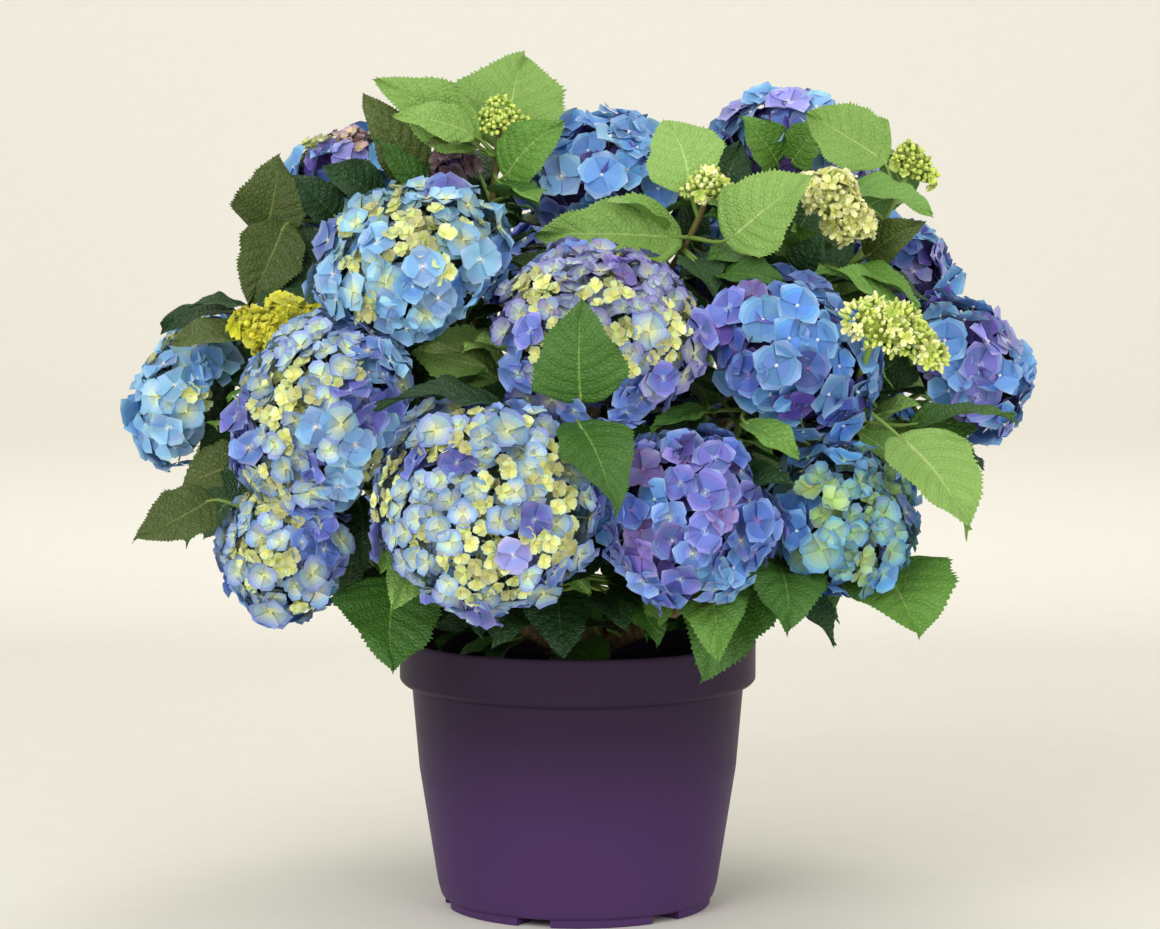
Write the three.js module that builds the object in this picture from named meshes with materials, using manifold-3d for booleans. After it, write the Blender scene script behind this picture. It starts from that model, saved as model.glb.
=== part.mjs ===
// A mophead hydrangea in a round plastic pot, built as separate closed solids.
// Millimetres, +Z up, +Y to the back. The origin is the centre of the pot's flat underside.
//
// The plant is an assembly: a pot, its soil, a short woody crown, eleven tapering boughs, and one
// solid for each shoot. A shoot is a three-sided stem that starts 0.3 mm off its bough, with pairs
// of leaves and, at its end, a flower head: a faceted core that four-petalled florets stand out of.
// Every shoot keeps to its own space: a leaf or floret that would touch another solid is left off.

import * as THREE from "three";
import { mergeVertices } from "three/addons/utils/BufferGeometryUtils.js";
import Module from "manifold-3d";

const wasm = await Module();
wasm.setup();

// ---------- driving dimensions ----------

const GAP = 0.3; // clearance between neighbouring solids

const POT = {
  rimRadius: 115,
  height: 175,
  rimDepth: 29,
  rimStep: 6,
  footRadius: 86,
  footHeight: 5.5,
  wall: 2.2,
  floor: 8,
  segments: 30,
  channels: 6,
  channelWidth: 22,
  channelInner: 52,
  drainRadius: 4.5,
};

const SOIL_LEVEL = 141;
const SOIL_RISE = 1.5;

const CROWN = { height: 50, radius: 17, flare: 30, sides: 12 };

const BOUGH = { base: 5.8, tip: 3.9, sides: 5, rings: 6 };
const STEM = { base: 2.6, tip: 1.9, sides: 3, rings: 5 };
const PETIOLE = 1.5;

const FLORET = 18.5; // centre to petal tip on an open head
const HEAD_FLORETS = 13; // on a head 60 mm across its middle, fewer or more by area
const BUD_FLORETS = 5;
const HEAD_CORE = 0.84; // core vertices as a share of the head's size
const HEAD_WRAP = (118 * Math.PI) / 180; // florets cover the head to this angle from its axis
const LEAF_STALK = 20;
const LEAF_WIDTH = 0.64; // of the blade's length
const LEAF_TRIES = [[0, 1], [0.5, 0.9], [-0.5, 0.9], [1, 0.85], [-1, 0.85], [0.3, 0.65], [-0.3, 0.65]];
const OUTLINE = { middle: [0, 0, 300], half: [290, 250, 250], lowest: 188 };
const DOWN = new THREE.Vector3(0, 0, -1);
const GOLDEN_ANGLE = Math.PI * (3 - Math.sqrt(5));
const PLANT_HEART = [0, 0, 215]; // heads face away from here

// ---------- the plan of the plant ----------

// start: azimuth (degrees), height on the woody crown and how far the bough leans out at first, as a
// share of its length; tip: where the last shoot leaves.
const BOUGHS = {
  front_left: { start: [-122, 15, 0.24], tip: [-72, -90, 236] },
  front_right: { start: [-52, 15, 0.24], tip: [78, -85, 230] },
  front_middle: { start: [-88, 33, 0.2], tip: [-5, -72, 298] },
  left: { start: [-172, 15, 0.24], tip: [-130, -35, 266] },
  left_top: { start: [178, 35, 0.2], tip: [-72, -5, 350] },
  middle_top: { start: [130, 50, 0.02], tip: [22, 12, 372] },
  right_top: { start: [12, 35, 0.2], tip: [105, 5, 345] },
  right: { start: [-6, 15, 0.24], tip: [138, -22, 278] },
  back_left: { start: [140, 15, 0.24], tip: [-90, 88, 250] },
  back_right: { start: [48, 15, 0.24], tip: [92, 88, 250] },
  back_middle: { start: [80, 33, 0.2], tip: [8, 80, 322] },
};

// kind, bough, share of the bough's length where the stem leaves, centre and size of the head
// (radius across and half height), and the colour of the node.
const SHOOTS = {
  flower_front_left: ["bloom", "front_left", 1.0, [-54, -188, 281], [68, 50], 0x7b86c8],
  flower_front_middle: ["bloom", "front_right", 1.0, [68, -168, 271], [56, 44], 0x6e71c4],
  flower_front_right: ["bloom", "front_right", 0.86, [160, -128, 262], [49, 42], 0x568ab8],
  flower_low_left: ["bloom", "left", 0.8, [-178, -122, 245], [43, 39], 0x6a80c8],
  flower_left: ["bloom", "front_left", 0.86, [-156, -125, 329], [63, 46], 0x8494cc],
  flower_far_left: ["bloom", "left", 0.9, [-245, -18, 336], [50, 32], 0x66a4d8],
  flower_upper_left: ["bloom", "left_top", 0.8, [-102, -98, 418], [62, 46], 0x7fb0dc],
  flower_middle: ["bloom", "front_middle", 1.0, [12, -140, 377], [65, 44], 0x8a88c8],
  flower_right: ["bloom", "front_right", 0.73, [131, -112, 364], [57, 44], 0x4f7cbc],
  flower_far_right: ["bloom", "right", 0.9, [247, -18, 349], [45, 36], 0x6a8cc4],
  flower_upper_right: ["bloom", "right", 0.8, [207, 45, 403], [40, 34], 0x6890c8],
  flower_top: ["bloom", "middle_top", 1.0, [18, 0, 463], [56, 46], 0x4f86bc],
  flower_top_right: ["bloom", "right_top", 0.94, [144, 72, 480], [53, 38], 0x8c9cd8],
  flower_top_left: ["bloom", "left_top", 0.7, [-149, 25, 463], [42, 35], 0x7c9ccc],
  flower_back_low_left: ["bloom", "back_left", 1.0, [-62, 188, 272], [60, 46], 0x6c88c8],
  flower_back_low_right: ["bloom", "back_right", 1.0, [72, 186, 282], [58, 46], 0x7a84c4],
  flower_back_right: ["bloom", "back_right", 0.86, [185, 122, 285], [52, 42], 0x5c90c0],
  flower_back_left: ["bloom", "back_left", 0.86, [-183, 112, 288], [52, 42], 0x7890cc],
  flower_back_middle: ["bloom", "back_middle", 1.0, [-2, 150, 392], [60, 46], 0x6c8ccc],
  flower_back_upper_right: ["bloom", "back_middle", 0.86, [115, 140, 402], [52, 42], 0x6484c4],
  flower_back_upper_left: ["bloom", "back_left", 0.72, [-118, 128, 398], [54, 44], 0x84a0d0],
  bud_top_left: ["bud", "left_top", 0.91, [-49, -45, 508], [15, 13], 0xb9cd5f],
  bud_top_middle: ["bud", "middle_top", 0.86, [82, -72, 465], [17, 12], 0xb9cd5f],
  bud_top_right: ["bud", "right_top", 1.0, [160, -58, 454], [23, 19], 0xe1e682],
  bud_far_right: ["bud", "right_top", 0.86, [212, -15, 478], [14, 12], 0xb9cd5f],
  bud_right: ["bud", "right", 1.0, [180, -158, 386], [28, 18], 0xc3d746],
  bud_left: ["bud", "left", 1.0, [-182, -62, 376], [23, 14], 0xdcd732],
  faded_head_top_left: ["bud", "left_top", 1.0, [-78, -48, 478], [13, 12], 0x4a3440],
  leaves_middle: ["leafy", "front_middle", 0.86, [0, -172, 334], [0, 0], 0x5c8c32],
  leaves_low_front: ["leafy", "front_middle", 0.4, [2, -118, 222], [0, 0], 0x3c6428],
  leaves_back: ["leafy", "back_middle", 0.6, [60, 150, 340], [0, 0], 0x4b7d2d],
};

// Leaves with a place of their own: shoot, base of the blade, tip, width, and the way its upper
// side faces (f to the front, u up, d down, b to the back).
const PLACED_LEAVES = [
  ["bud_top_left", [-44, -25, 486], [-34, 6, 550], 68, "f"],
  ["bud_top_left", [-46, -50, 471], [-10, -66, 507], 34, "f"],
  ["bud_top_left", [-50, -52, 468], [-24, -84, 455], 22, "u"],
  ["bud_top_left", [-62, -50, 490], [-123, -64, 534], 38, "f"],
  ["bud_top_left", [-64, -56, 498], [-113, -84, 511], 25, "f"],
  ["bud_top_left", [-56, -58, 486], [-92, -80, 496], 15, "u"],
  ["faded_head_top_left", [-98, -30, 464], [-133, -45, 523], 34, "f"],
  ["faded_head_top_left", [-94, -42, 462], [-126, -62, 495], 20, "f"],
  ["flower_top_left", [-200, 0, 434], [-190, -16, 484], 46, "f"],
  ["flower_top_left", [-186, -14, 442], [-208, -38, 390], 42, "f"],
  ["flower_top_left", [-150, -18, 414], [-206, -48, 381], 42, "u"],
  ["flower_top_left", [-126, -12, 454], [-160, -36, 478], 30, "f"],
  ["flower_top_left", [-152, -24, 444], [-178, -42, 472], 28, "f"],
  ["bud_left", [-204, -52, 364], [-250, -84, 374], 42, "u"],
  ["bud_left", [-216, -26, 386], [-262, -46, 378], 20, "u"],
  ["bud_left", [-208, -30, 388], [-243, -52, 392], 18, "u"],
  ["flower_low_left", [-224, -112, 276], [-270, -142, 254], 36, "f"],
  ["flower_low_left", [-196, -66, 300], [-214, -92, 262], 34, "f"],
  ["flower_low_left", [-136, -98, 276], [-134, -130, 234], 34, "f"],
  ["leaves_middle", [2, -184, 340], [2, -206, 402], 54, "f"],
  ["leaves_middle", [0, -190, 330], [22, -252, 284], 44, "u"],
  ["leaves_middle", [-42, -168, 337], [-118, -206, 342], 34, "u"],
  ["leaves_middle", [-44, -140, 352], [-90, -164, 374], 24, "u"],
  ["bud_top_middle", [66, -60, 434], [-24, -84, 438], 46, "f"],
  ["flower_right", [82, -122, 330], [44, -178, 322], 26, "u"],
  ["flower_right", [100, -150, 326], [132, -186, 310], 22, "u"],
  ["bud_top_middle", [70, -70, 462], [54, -50, 508], 48, "f"],
  ["bud_top_middle", [92, -88, 432], [143, -106, 474], 50, "f"],
  ["bud_top_middle", [86, -86, 412], [126, -118, 408], 28, "u"],
  ["flower_top_right", [130, 36, 478], [106, 14, 508], 30, "f"],
  ["flower_top_right", [138, 36, 478], [158, 14, 508], 28, "f"],
  ["bud_far_right", [196, -22, 480], [146, -6, 511], 44, "f"],
  ["bud_far_right", [170, -28, 464], [222, -54, 451], 34, "u"],
  ["bud_far_right", [182, -32, 420], [214, -54, 444], 26, "f"],
  ["bud_top_right", [140, -66, 410], [152, -86, 436], 28, "f"],
  ["bud_right", [202, -76, 384], [150, -92, 418], 44, "u"],
  ["bud_right", [176, -72, 312], [208, -96, 336], 24, "u"],
  ["bud_right", [204, -92, 318], [268, -112, 328], 34, "u"],
  ["bud_right", [196, -122, 316], [236, -166, 262], 60, "u"],
  ["flower_front_right", [188, -96, 234], [207, -160, 197], 74, "u"],
  ["flower_front_left", [-110, -114, 226], [-112, -168, 176], 64, "f"],
  ["leaves_low_front", [-12, -118, 218], [-8, -164, 186], 42, "u"],
  ["leaves_low_front", [16, -112, 218], [31, -150, 200], 26, "u"],
  ["leaves_low_front", [36, -116, 214], [48, -158, 192], 28, "u"],
  ["leaves_low_front", [-40, -112, 214], [-52, -150, 190], 34, "f"],
  ["flower_front_middle", [112, -116, 234], [76, -166, 174], 62, "f"],
];

const FACES = { f: [0, -1, 0.45], u: [0, -0.45, 1], d: [0, -0.7, -0.5], b: [0, 1, 0.45] };

// ---------- numbers and curves ----------

// A repeatable stream of numbers from 0 to 1 for each seed.
function seeded(seed) {
  let state = seed >>> 0;
  return () => {
    state = (state + 0x6d2b79f5) >>> 0;
    let t = state;
    t = Math.imul(t ^ (t >>> 15), t | 1);
    t ^= t + Math.imul(t ^ (t >>> 7), t | 61);
    return ((t ^ (t >>> 14)) >>> 0) / 4294967296;
  };
}

const vector = (p) => new THREE.Vector3(p[0], p[1], p[2]);
const radians = (degrees) => (degrees * Math.PI) / 180;

function along(origin, ...steps) {
  const point = origin.clone();
  for (const [direction, distance] of steps) {
    point.addScaledVector(direction, distance);
  }
  return point;
}

// The part of a direction that is square to an axis, or any square direction where none is left.
function squareTo(direction, axis) {
  const side = direction.clone().addScaledVector(axis, -direction.dot(axis));
  if (side.length() < 1e-3) {
    side.set(axis.y, axis.z, axis.x);
    side.addScaledVector(axis, -side.dot(axis));
  }
  return side.normalize();
}

// ---------- closed solids ----------

function solid(points, triangles) {
  const vertProperties = new Float32Array(points.flatMap((p) => [p.x, p.y, p.z]));
  const make = (faces) => {
    const triVerts = new Uint32Array(faces.flat());
    return new wasm.Manifold(new wasm.Mesh({ numProp: 3, vertProperties, triVerts }));
  };
  const shape = make(triangles);
  return shape.volume() > 0 ? shape : make(triangles.map(([a, b, c]) => [a, c, b]));
}

function solidFromGeometry(geometry) {
  const bare = geometry.index ? geometry : geometry.clone();
  bare.deleteAttribute("normal");
  bare.deleteAttribute("uv");
  const merged = mergeVertices(bare, 1e-4);
  const position = merged.attributes.position;
  const corner = (i) => new THREE.Vector3().fromBufferAttribute(position, i);
  const points = Array.from({ length: position.count }, (_, i) => corner(i));
  const index = Array.from(merged.index.array);
  const triangles = [];
  for (let i = 0; i < index.length; i += 3) {
    const [a, b, c] = index.slice(i, i + 3);
    if (a !== b && b !== c && c !== a) {
      triangles.push([a, b, c]);
    }
  }
  return solid(points, triangles);
}

// A limb: rings square to a curve, closed at both ends by flat faces.
function limb(curve, radiusAt, sides, rings) {
  const points = [];
  const triangles = [];
  let reference = squareTo(new THREE.Vector3(0.3, 1, 0.2).normalize(), curve.getTangent(0));
  for (let ring = 0; ring < rings; ring += 1) {
    const share = ring / (rings - 1);
    const tangent = curve.getTangent(share);
    reference = squareTo(reference, tangent);
    const other = tangent.clone().cross(reference);
    for (let side = 0; side < sides; side += 1) {
      const angle = (side / sides) * 2 * Math.PI;
      const radius = radiusAt(share, angle);
      const round = along(new THREE.Vector3(), [reference, Math.cos(angle)], [other, Math.sin(angle)]);
      points.push(along(curve.getPoint(share), [round, radius]));
    }
  }
  for (let ring = 0; ring + 1 < rings; ring += 1) {
    for (let side = 0; side < sides; side += 1) {
      const a = ring * sides + side;
      const b = ring * sides + ((side + 1) % sides);
      triangles.push([a, b, b + sides], [a, b + sides, a + sides]);
    }
  }
  const top = (rings - 1) * sides;
  for (let side = 1; side + 1 < sides; side += 1) {
    triangles.push([0, side + 1, side], [top, top + side, top + side + 1]);
  }
  return solid(points, triangles);
}

// A leaf on its stalk: a three-sided stalk from root to the blade, and a blade whose two sides
// fold up from the midrib and whose length arches. 22 faces.
function leaf(root, base, tip, width, facing, grow = 0) {
  const run = tip.clone().sub(base);
  const length = run.length() + grow;
  run.normalize();
  const normal = squareTo(facing, run);
  const side = run.clone().cross(normal);
  const thickness = Math.max(length / 45, 1.3) + 2 * grow;
  const arch = 0.07 * length;
  const fold = 0.13 * width;
  const stalk = base.clone().sub(root).normalize();
  const bend = stalk.clone().add(run).normalize();
  const across = squareTo(side, bend);
  const under = squareTo(normal, bend).negate();
  const half = PETIOLE + grow;
  const ring = (centre) => [
    along(centre, [across, -half]),
    along(centre, [across, half]),
    along(centre, [under, 1.2 * half]),
  ];
  const onBlade = (s, w, lift) =>
    along(base, [run, s * length], [side, w * (width / 2 + grow)],
      [normal, arch * 4 * s * (1 - s) + fold * Math.abs(w) + lift]);
  const points = [
    ...ring(root),
    ...ring(base),
    onBlade(0.26, -0.84, 0),
    onBlade(0.64, -0.88, 0),
    onBlade(1, 0, 0),
    onBlade(0.64, 0.88, 0),
    onBlade(0.26, 0.84, 0),
    onBlade(0.45, 0, thickness / 2),
    onBlade(0.45, 0, -thickness / 2),
  ];
  const [rootL, rootR, rootU, neckL, neckR, neckU, l1, l2, end, r2, r1, top, bottom] = points.keys();
  const upper = [neckL, l1, l2, end, r2, r1, neckR];
  const triangles = [
    [rootL, rootR, rootU],
    [rootL, neckL, neckR], [rootL, neckR, rootR],
    [rootR, neckR, neckU], [rootR, neckU, rootU],
    [rootU, neckU, neckL], [rootU, neckL, rootL],
    [top, neckR, neckL],
    [bottom, neckL, neckU], [bottom, neckU, neckR],
  ];
  for (let i = 0; i + 1 < upper.length; i += 1) {
    triangles.push([top, upper[i], upper[i + 1]], [bottom, upper[i + 1], upper[i]]);
  }
  return solid(points, triangles);
}

// A floret: four petal tips round a raised middle, on a stalk that narrows into the core.
function floret(centre, outward, radius, spin, depth) {
  const across = squareTo(new THREE.Vector3(Math.cos(spin), Math.sin(spin), 0.37), outward);
  const other = outward.clone().cross(across);
  const points = [0, 1, 2, 3].map((k) => {
    const angle = spin + (k * Math.PI) / 2;
    return along(centre, [across, radius * Math.cos(angle)], [other, radius * Math.sin(angle)],
      [outward, k % 2 ? 1.2 : -0.6]);
  });
  points.push(along(centre, [outward, 2.2]), along(centre, [outward, -depth]));
  const triangles = [];
  for (let k = 0; k < 4; k += 1) {
    triangles.push([4, k, (k + 1) % 4], [5, (k + 1) % 4, k]);
  }
  return solid(points, triangles);
}

// A closed turned shape round the vertical axis, from its profile of [radius, height].
function turned(profile, segments) {
  const points = profile.map(([r, z]) => new THREE.Vector2(r, z));
  const geometry = new THREE.LatheGeometry(points, segments);
  geometry.rotateX(Math.PI / 2);
  return solidFromGeometry(geometry);
}

// ---------- pot and soil ----------

const shoulder = POT.height - POT.rimDepth;
const wallRadius = POT.rimRadius - POT.rimStep - 1.9;
const innerWall = (z) => {
  const share = (z - 14) / (shoulder - 3 - 14);
  return 90.5 - POT.wall + share * (wallRadius - 90.5);
};

function buildPot() {
  const { rimRadius, height, footRadius, footHeight, wall, floor } = POT;
  const profile = [
    [0, 0],
    [footRadius - 2, 0],
    [footRadius, 1.4],
    [footRadius, footHeight],
    [footRadius + 2.4, footHeight + 1.5],
    [90.5, 14],
    [wallRadius, shoulder - 3],
    [rimRadius - 2.4, shoulder - 1],
    [rimRadius, shoulder + 1.6],
    [rimRadius, height - 1.4],
    [rimRadius - 1, height],
    [rimRadius - wall, height],
    [rimRadius - wall - 0.5, shoulder + 1.8],
    [innerWall(shoulder - 1), shoulder - 1],
    [innerWall(14), 14],
    [innerWall(14) - 5, floor],
    [0, floor],
  ];
  let pot = turned(profile, POT.segments);
  for (let i = 0; i < POT.channels; i += 1) {
    const angle = radians(-109) + (i * 2 * Math.PI) / POT.channels;
    const length = footRadius + 10 - POT.channelInner;
    const channel = new THREE.BoxGeometry(length, POT.channelWidth, 2 * footHeight);
    channel.translate(POT.channelInner + length / 2, 0, 0).rotateZ(angle);
    const drain = new THREE.CylinderGeometry(POT.drainRadius, POT.drainRadius, 4 * floor, 6);
    drain.rotateX(Math.PI / 2).translate(POT.channelInner + 8, 0, 0).rotateZ(angle);
    pot = pot.subtract(solidFromGeometry(channel)).subtract(solidFromGeometry(drain));
  }
  return pot;
}

function buildSoil() {
  const inner = (z) => innerWall(z) - GAP;
  const bottom = POT.floor + GAP;
  return turned(
    [
      [0, bottom],
      [inner(14) - 5, bottom],
      [inner(14), 14 + 0.1],
      [inner(SOIL_LEVEL - 3), SOIL_LEVEL - 3],
      [60, SOIL_LEVEL + SOIL_RISE],
      [0, SOIL_LEVEL + SOIL_RISE],
    ],
    POT.segments,
  );
}

// ---------- woody crown and boughs ----------

const foot = SOIL_LEVEL + SOIL_RISE + GAP;

// The short trunk that all boughs leave: flared lobes at the soil, a flat cut below, a slight lean.
function buildCrown(grow = 0) {
  const { height, radius, flare, sides } = CROWN;
  const curve = new THREE.QuadraticBezierCurve3(
    new THREE.Vector3(0, 0, foot - grow),
    new THREE.Vector3(0, 0, foot + height / 2),
    new THREE.Vector3(2, -2, foot + height + grow),
  );
  const radiusAt = (share, angle) => {
    const spread = (flare - radius) * Math.pow(1 - share, 5) * (1 + 0.3 * Math.cos(3 * angle));
    const rounding = share > 0.95 ? 0.72 : 1;
    return (radius + spread - 2.5 * share) * rounding + grow;
  };
  return limb(curve, radiusAt, sides, 7);
}

function boughCurve({ start: [azimuth, height, spread], tip }) {
  const turn = radians(azimuth);
  const out = new THREE.Vector3(Math.cos(turn), Math.sin(turn), 0);
  const end = vector(tip);
  const begin = along(new THREE.Vector3(0, 0, foot + height), [out, 3]);
  const reach = begin.distanceTo(end);
  const up = new THREE.Vector3(0, 0, 1);
  return new THREE.CubicBezierCurve3(
    begin,
    along(begin, [out, spread * reach], [up, 0.18 * reach]),
    along(end, [squareTo(end.clone().sub(begin), up), -0.1 * reach], [up, -0.32 * reach]),
    end,
  );
}

function buildBough(curve, grow = 0) {
  const radiusAt = (share) => (BOUGH.base + (BOUGH.tip - BOUGH.base) * share) + grow;
  return limb(curve, radiusAt, BOUGH.sides, BOUGH.rings);
}

// ---------- shoots ----------

const headAxis = (centre) => {
  const axis = vector(centre).sub(vector(PLANT_HEART));
  axis.z = Math.max(axis.z, 0.2 * axis.length());
  return axis.normalize();
};

// The stem leaves its bough towards the head and comes into the head along the head's axis.
function stemCurve(boughPath, share, kind, centre, size) {
  const begin = boughPath.getPoint(share);
  const head = vector(centre);
  const axis = kind === "bloom" ? headAxis(centre) : head.clone().sub(begin).normalize();
  if (kind === "bud") {
    axis.z += 0.6;
    axis.normalize();
  }
  const end = along(head, [axis, -0.3 * size[1]]);
  const reach = begin.distanceTo(end);
  const direct = end.clone().sub(begin).normalize();
  const first = direct.lerp(boughPath.getTangent(share), 0.3).normalize();
  return new THREE.CubicBezierCurve3(
    begin,
    along(begin, [first, 0.35 * reach]),
    along(end, [axis, -0.4 * reach]),
    end,
  );
}

function stem(curve, grow = 0) {
  const radiusAt = (share) => (STEM.base + (STEM.tip - STEM.base) * share) + grow;
  return limb(curve, radiusAt, STEM.sides, STEM.rings);
}

function headCore(centre, axis, [radius, height]) {
  const core = new THREE.IcosahedronGeometry(1, 0);
  core.scale(HEAD_CORE * radius, HEAD_CORE * radius, HEAD_CORE * height);
  core.applyQuaternion(new THREE.Quaternion().setFromUnitVectors(new THREE.Vector3(0, 0, 1), axis));
  core.translate(...centre);
  return solidFromGeometry(core);
}

// Places on a head, from its crest outwards along a golden-angle spiral.
function headPlaces(centre, axis, [radius, height], count, phase) {
  const side = squareTo(new THREE.Vector3(1, 0, 0), axis);
  const other = axis.clone().cross(side);
  return Array.from({ length: count }, (_, i) => {
    const cosine = 1 - ((i + 0.5) / count) * (1 - Math.cos(HEAD_WRAP));
    const sine = Math.sqrt(1 - cosine * cosine);
    const turn = phase + i * GOLDEN_ANGLE;
    const round = along(new THREE.Vector3(), [side, Math.cos(turn)], [other, Math.sin(turn)]);
    return {
      point: along(vector(centre), [axis, height * cosine], [round, radius * sine]),
      outward: along(new THREE.Vector3(), [axis, cosine / height], [round, sine / radius]).normalize(),
    };
  });
}

// ---------- keeping clear ----------

const taken = [];

// Whether a shape is clear of all that is taken, apart from what its owners hold.
function isClear(shape, owners) {
  const { min, max } = shape.boundingBox();
  return taken.every((other) => {
    const apart = [0, 1, 2].some((k) => min[k] > other.box.max[k] || max[k] < other.box.min[k]);
    return owners.includes(other.owner) || apart || shape.intersect(other.shape).volume() < 1e-6;
  });
}

function take(shape, owner) {
  taken.push({ owner, shape, box: shape.boundingBox() });
}

// ---------- growth ----------

const shapes = new Map();
const colours = new Map();

function keep(name, shape, colour, roughness = 0.7) {
  shapes.set(name, shape);
  colours.set(name, { colour, roughness });
}

const pot = buildPot();
const soil = buildSoil();
const crown = buildCrown();
keep("pot", pot, 0x4e375f, 0.4);
keep("potting_soil", soil, 0x2a211b, 0.95);
keep("woody_crown", crown, 0x5d4a35, 0.9);
take(pot, "pot");
take(soil, "soil");
take(buildCrown(GAP), "woody_crown");

const crownRoom = buildCrown(1.15 * GAP);
const paths = {};
for (const [name, plan] of Object.entries(BOUGHS)) {
  paths[name] = boughCurve(plan);
  keep(`bough_${name}`, buildBough(paths[name]).subtract(crownRoom), 0x6b5a3c, 0.85);
  take(buildBough(paths[name], 1.15 * GAP), name);
}

const shoots = Object.entries(SHOOTS).map(([name, row], order) => {
  const [kind, bough, share, centre, size, colour] = row;
  const curve = stemCurve(paths[bough], share, kind, centre, size);
  const random = seeded(101 + 17 * order);
  return { name, kind, bough, centre, size, colour, axis: headAxis(centre), curve, random, parts: [] };
});

// Adds a shape to a shoot where it is clear of every other shoot, and says whether it was. Only a
// stem may meet its own bough, which it is cut back from at the end.
function grows(shoot, shape, room, owners = [shoot.name]) {
  const clear = isClear(shape, owners);
  if (clear) {
    shoot.parts.push(shape);
    take(room, shoot.name);
  }
  return clear;
}

for (const shoot of shoots) {
  grows(shoot, stem(shoot.curve), stem(shoot.curve, GAP), [shoot.name, shoot.bough]);
  if (shoot.kind !== "leafy") {
    const core = headCore(shoot.centre, shoot.axis, shoot.size);
    const room = headCore(shoot.centre, shoot.axis, shoot.size.map((v) => v + 1.5 * GAP));
    grows(shoot, core, room);
  }
}

// The root of a leaf is the point of the stem that its stalk reaches on the shortest, straightest way.
function rootFor(shoot, base, tip) {
  const run = tip.clone().sub(base).normalize();
  let best = null;
  for (let share = 0.12; share < 0.93; share += 0.03) {
    const point = shoot.curve.getPoint(share);
    const stalk = base.clone().sub(point);
    const cost = stalk.length() * (1.7 - stalk.normalize().dot(run));
    if (!best || cost < best.cost) {
      best = { cost, point };
    }
  }
  return best.point;
}

function growLeaf(shoot, root, base, tip, width, facing) {
  return grows(shoot, leaf(root, base, tip, width, facing), leaf(root, base, tip, width, facing, GAP));
}

for (const [name, base, tip, width, face] of PLACED_LEAVES) {
  const shoot = shoots.find((candidate) => candidate.name === name);
  const from = vector(base);
  const to = vector(tip);
  growLeaf(shoot, rootFor(shoot, from, to), from, to, width, vector(FACES[face]));
}

for (const shoot of shoots) {
  const { kind, centre, axis, size, random } = shoot;
  if (kind === "leafy") {
    continue;
  }
  const bloom = kind === "bloom";
  const radius = bloom ? FLORET : 0.5 * size[0];
  const count = bloom ? Math.round(HEAD_FLORETS * (size[0] / 60) ** 2) : BUD_FLORETS;
  const inset = bloom ? 3 : 2;
  const places = headPlaces(centre, axis, size.map((v) => v - inset), count, 6.28 * random());
  for (const { point, outward } of places) {
    const depth = 0.42 * size[1];
    const spin = 6.28 * random();
    const reach = radius * (0.92 + 0.16 * random());
    const room = floret(point, outward, reach + GAP, spin, depth);
    grows(shoot, floret(point, outward, reach, spin, depth), room);
  }
}

// Whether a leaf's tip stays inside the plant's own outline and above the pot's rim.
function insideOutline(tip) {
  const away = tip.clone().sub(vector(OUTLINE.middle)).divide(vector(OUTLINE.half));
  return away.length() < 1 && tip.z > OUTLINE.lowest;
}

// Pairs of leaves along each stem, each pair square to the last, arching up and out. A leaf with no
// room tries again turned a little round the stem or smaller, and is left off when no try fits.
for (const shoot of shoots) {
  const { curve, random, kind } = shoot;
  const placed = PLACED_LEAVES.filter(([name]) => name === shoot.name).length;
  const pairs = placed > 2 ? [] : kind === "leafy" ? [0.3, 0.6, 0.9] : [0.35, 0.62];
  pairs.forEach((share, order) => {
    const root = curve.getPoint(share);
    const tangent = curve.getTangent(share);
    const side = squareTo(new THREE.Vector3(0.2, 0.1, 1), tangent);
    const other = tangent.clone().cross(side);
    const turn = (order % 2) * (Math.PI / 2) + 0.7 * random();
    for (const half of [0, Math.PI]) {
      const fullLength = 66 + 30 * random();
      const rise = 0.35 + 0.3 * random();
      LEAF_TRIES.some(([swing, scale]) => {
        const angle = turn + half + swing;
        const length = fullLength * scale;
        const round = along(new THREE.Vector3(), [side, Math.cos(angle)], [other, Math.sin(angle)]);
        const way = along(round, [tangent, rise]).normalize();
        const base = along(root, [way, LEAF_STALK]);
        const tip = along(base, [way, length], [DOWN, 0.2 * length]);
        const facing = new THREE.Vector3(0, 0, 1).addScaledVector(tangent, 0.4);
        return insideOutline(tip) && growLeaf(shoot, root, base, tip, LEAF_WIDTH * length, facing);
      });
    }
  });
}

// ---------- assembly ----------

for (const shoot of shoots) {
  const room = buildBough(paths[shoot.bough], 1.15 * GAP);
  const fused = shoot.parts.reduce((whole, shape) => whole.add(shape)).subtract(room);
  const pieces = fused.decompose().sort((a, b) => b.volume() - a.volume());
  keep(shoot.name, pieces[0], shoot.colour);
}

const hydrangea = new THREE.Group();
for (const [name, shape] of shapes) {
  const { vertProperties, triVerts } = shape.getMesh();
  const geometry = new THREE.BufferGeometry();
  geometry.setAttribute("position", new THREE.BufferAttribute(vertProperties, 3));
  geometry.setIndex(new THREE.BufferAttribute(triVerts, 1));
  const { colour, roughness } = colours.get(name);
  const material = new THREE.MeshStandardMaterial({ color: colour, roughness, metalness: 0 });
  material.flatShading = true;
  const mesh = new THREE.Mesh(geometry, material);
  mesh.name = name;
  hydrangea.add(mesh);
}

export default hydrangea;
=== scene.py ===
"""A mophead hydrangea in a round plastic pot: petals, leaves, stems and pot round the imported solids.

Lengths are in millimetres until a mesh is made, with +Z up and the origin under the pot's middle.
The plan of the plant and its rule of growth are those of the solids, carried to finer parts.
"""

import math
from collections import namedtuple

import bpy
import numpy as np
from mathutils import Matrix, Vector
from mathutils.kdtree import KDTree


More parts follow.
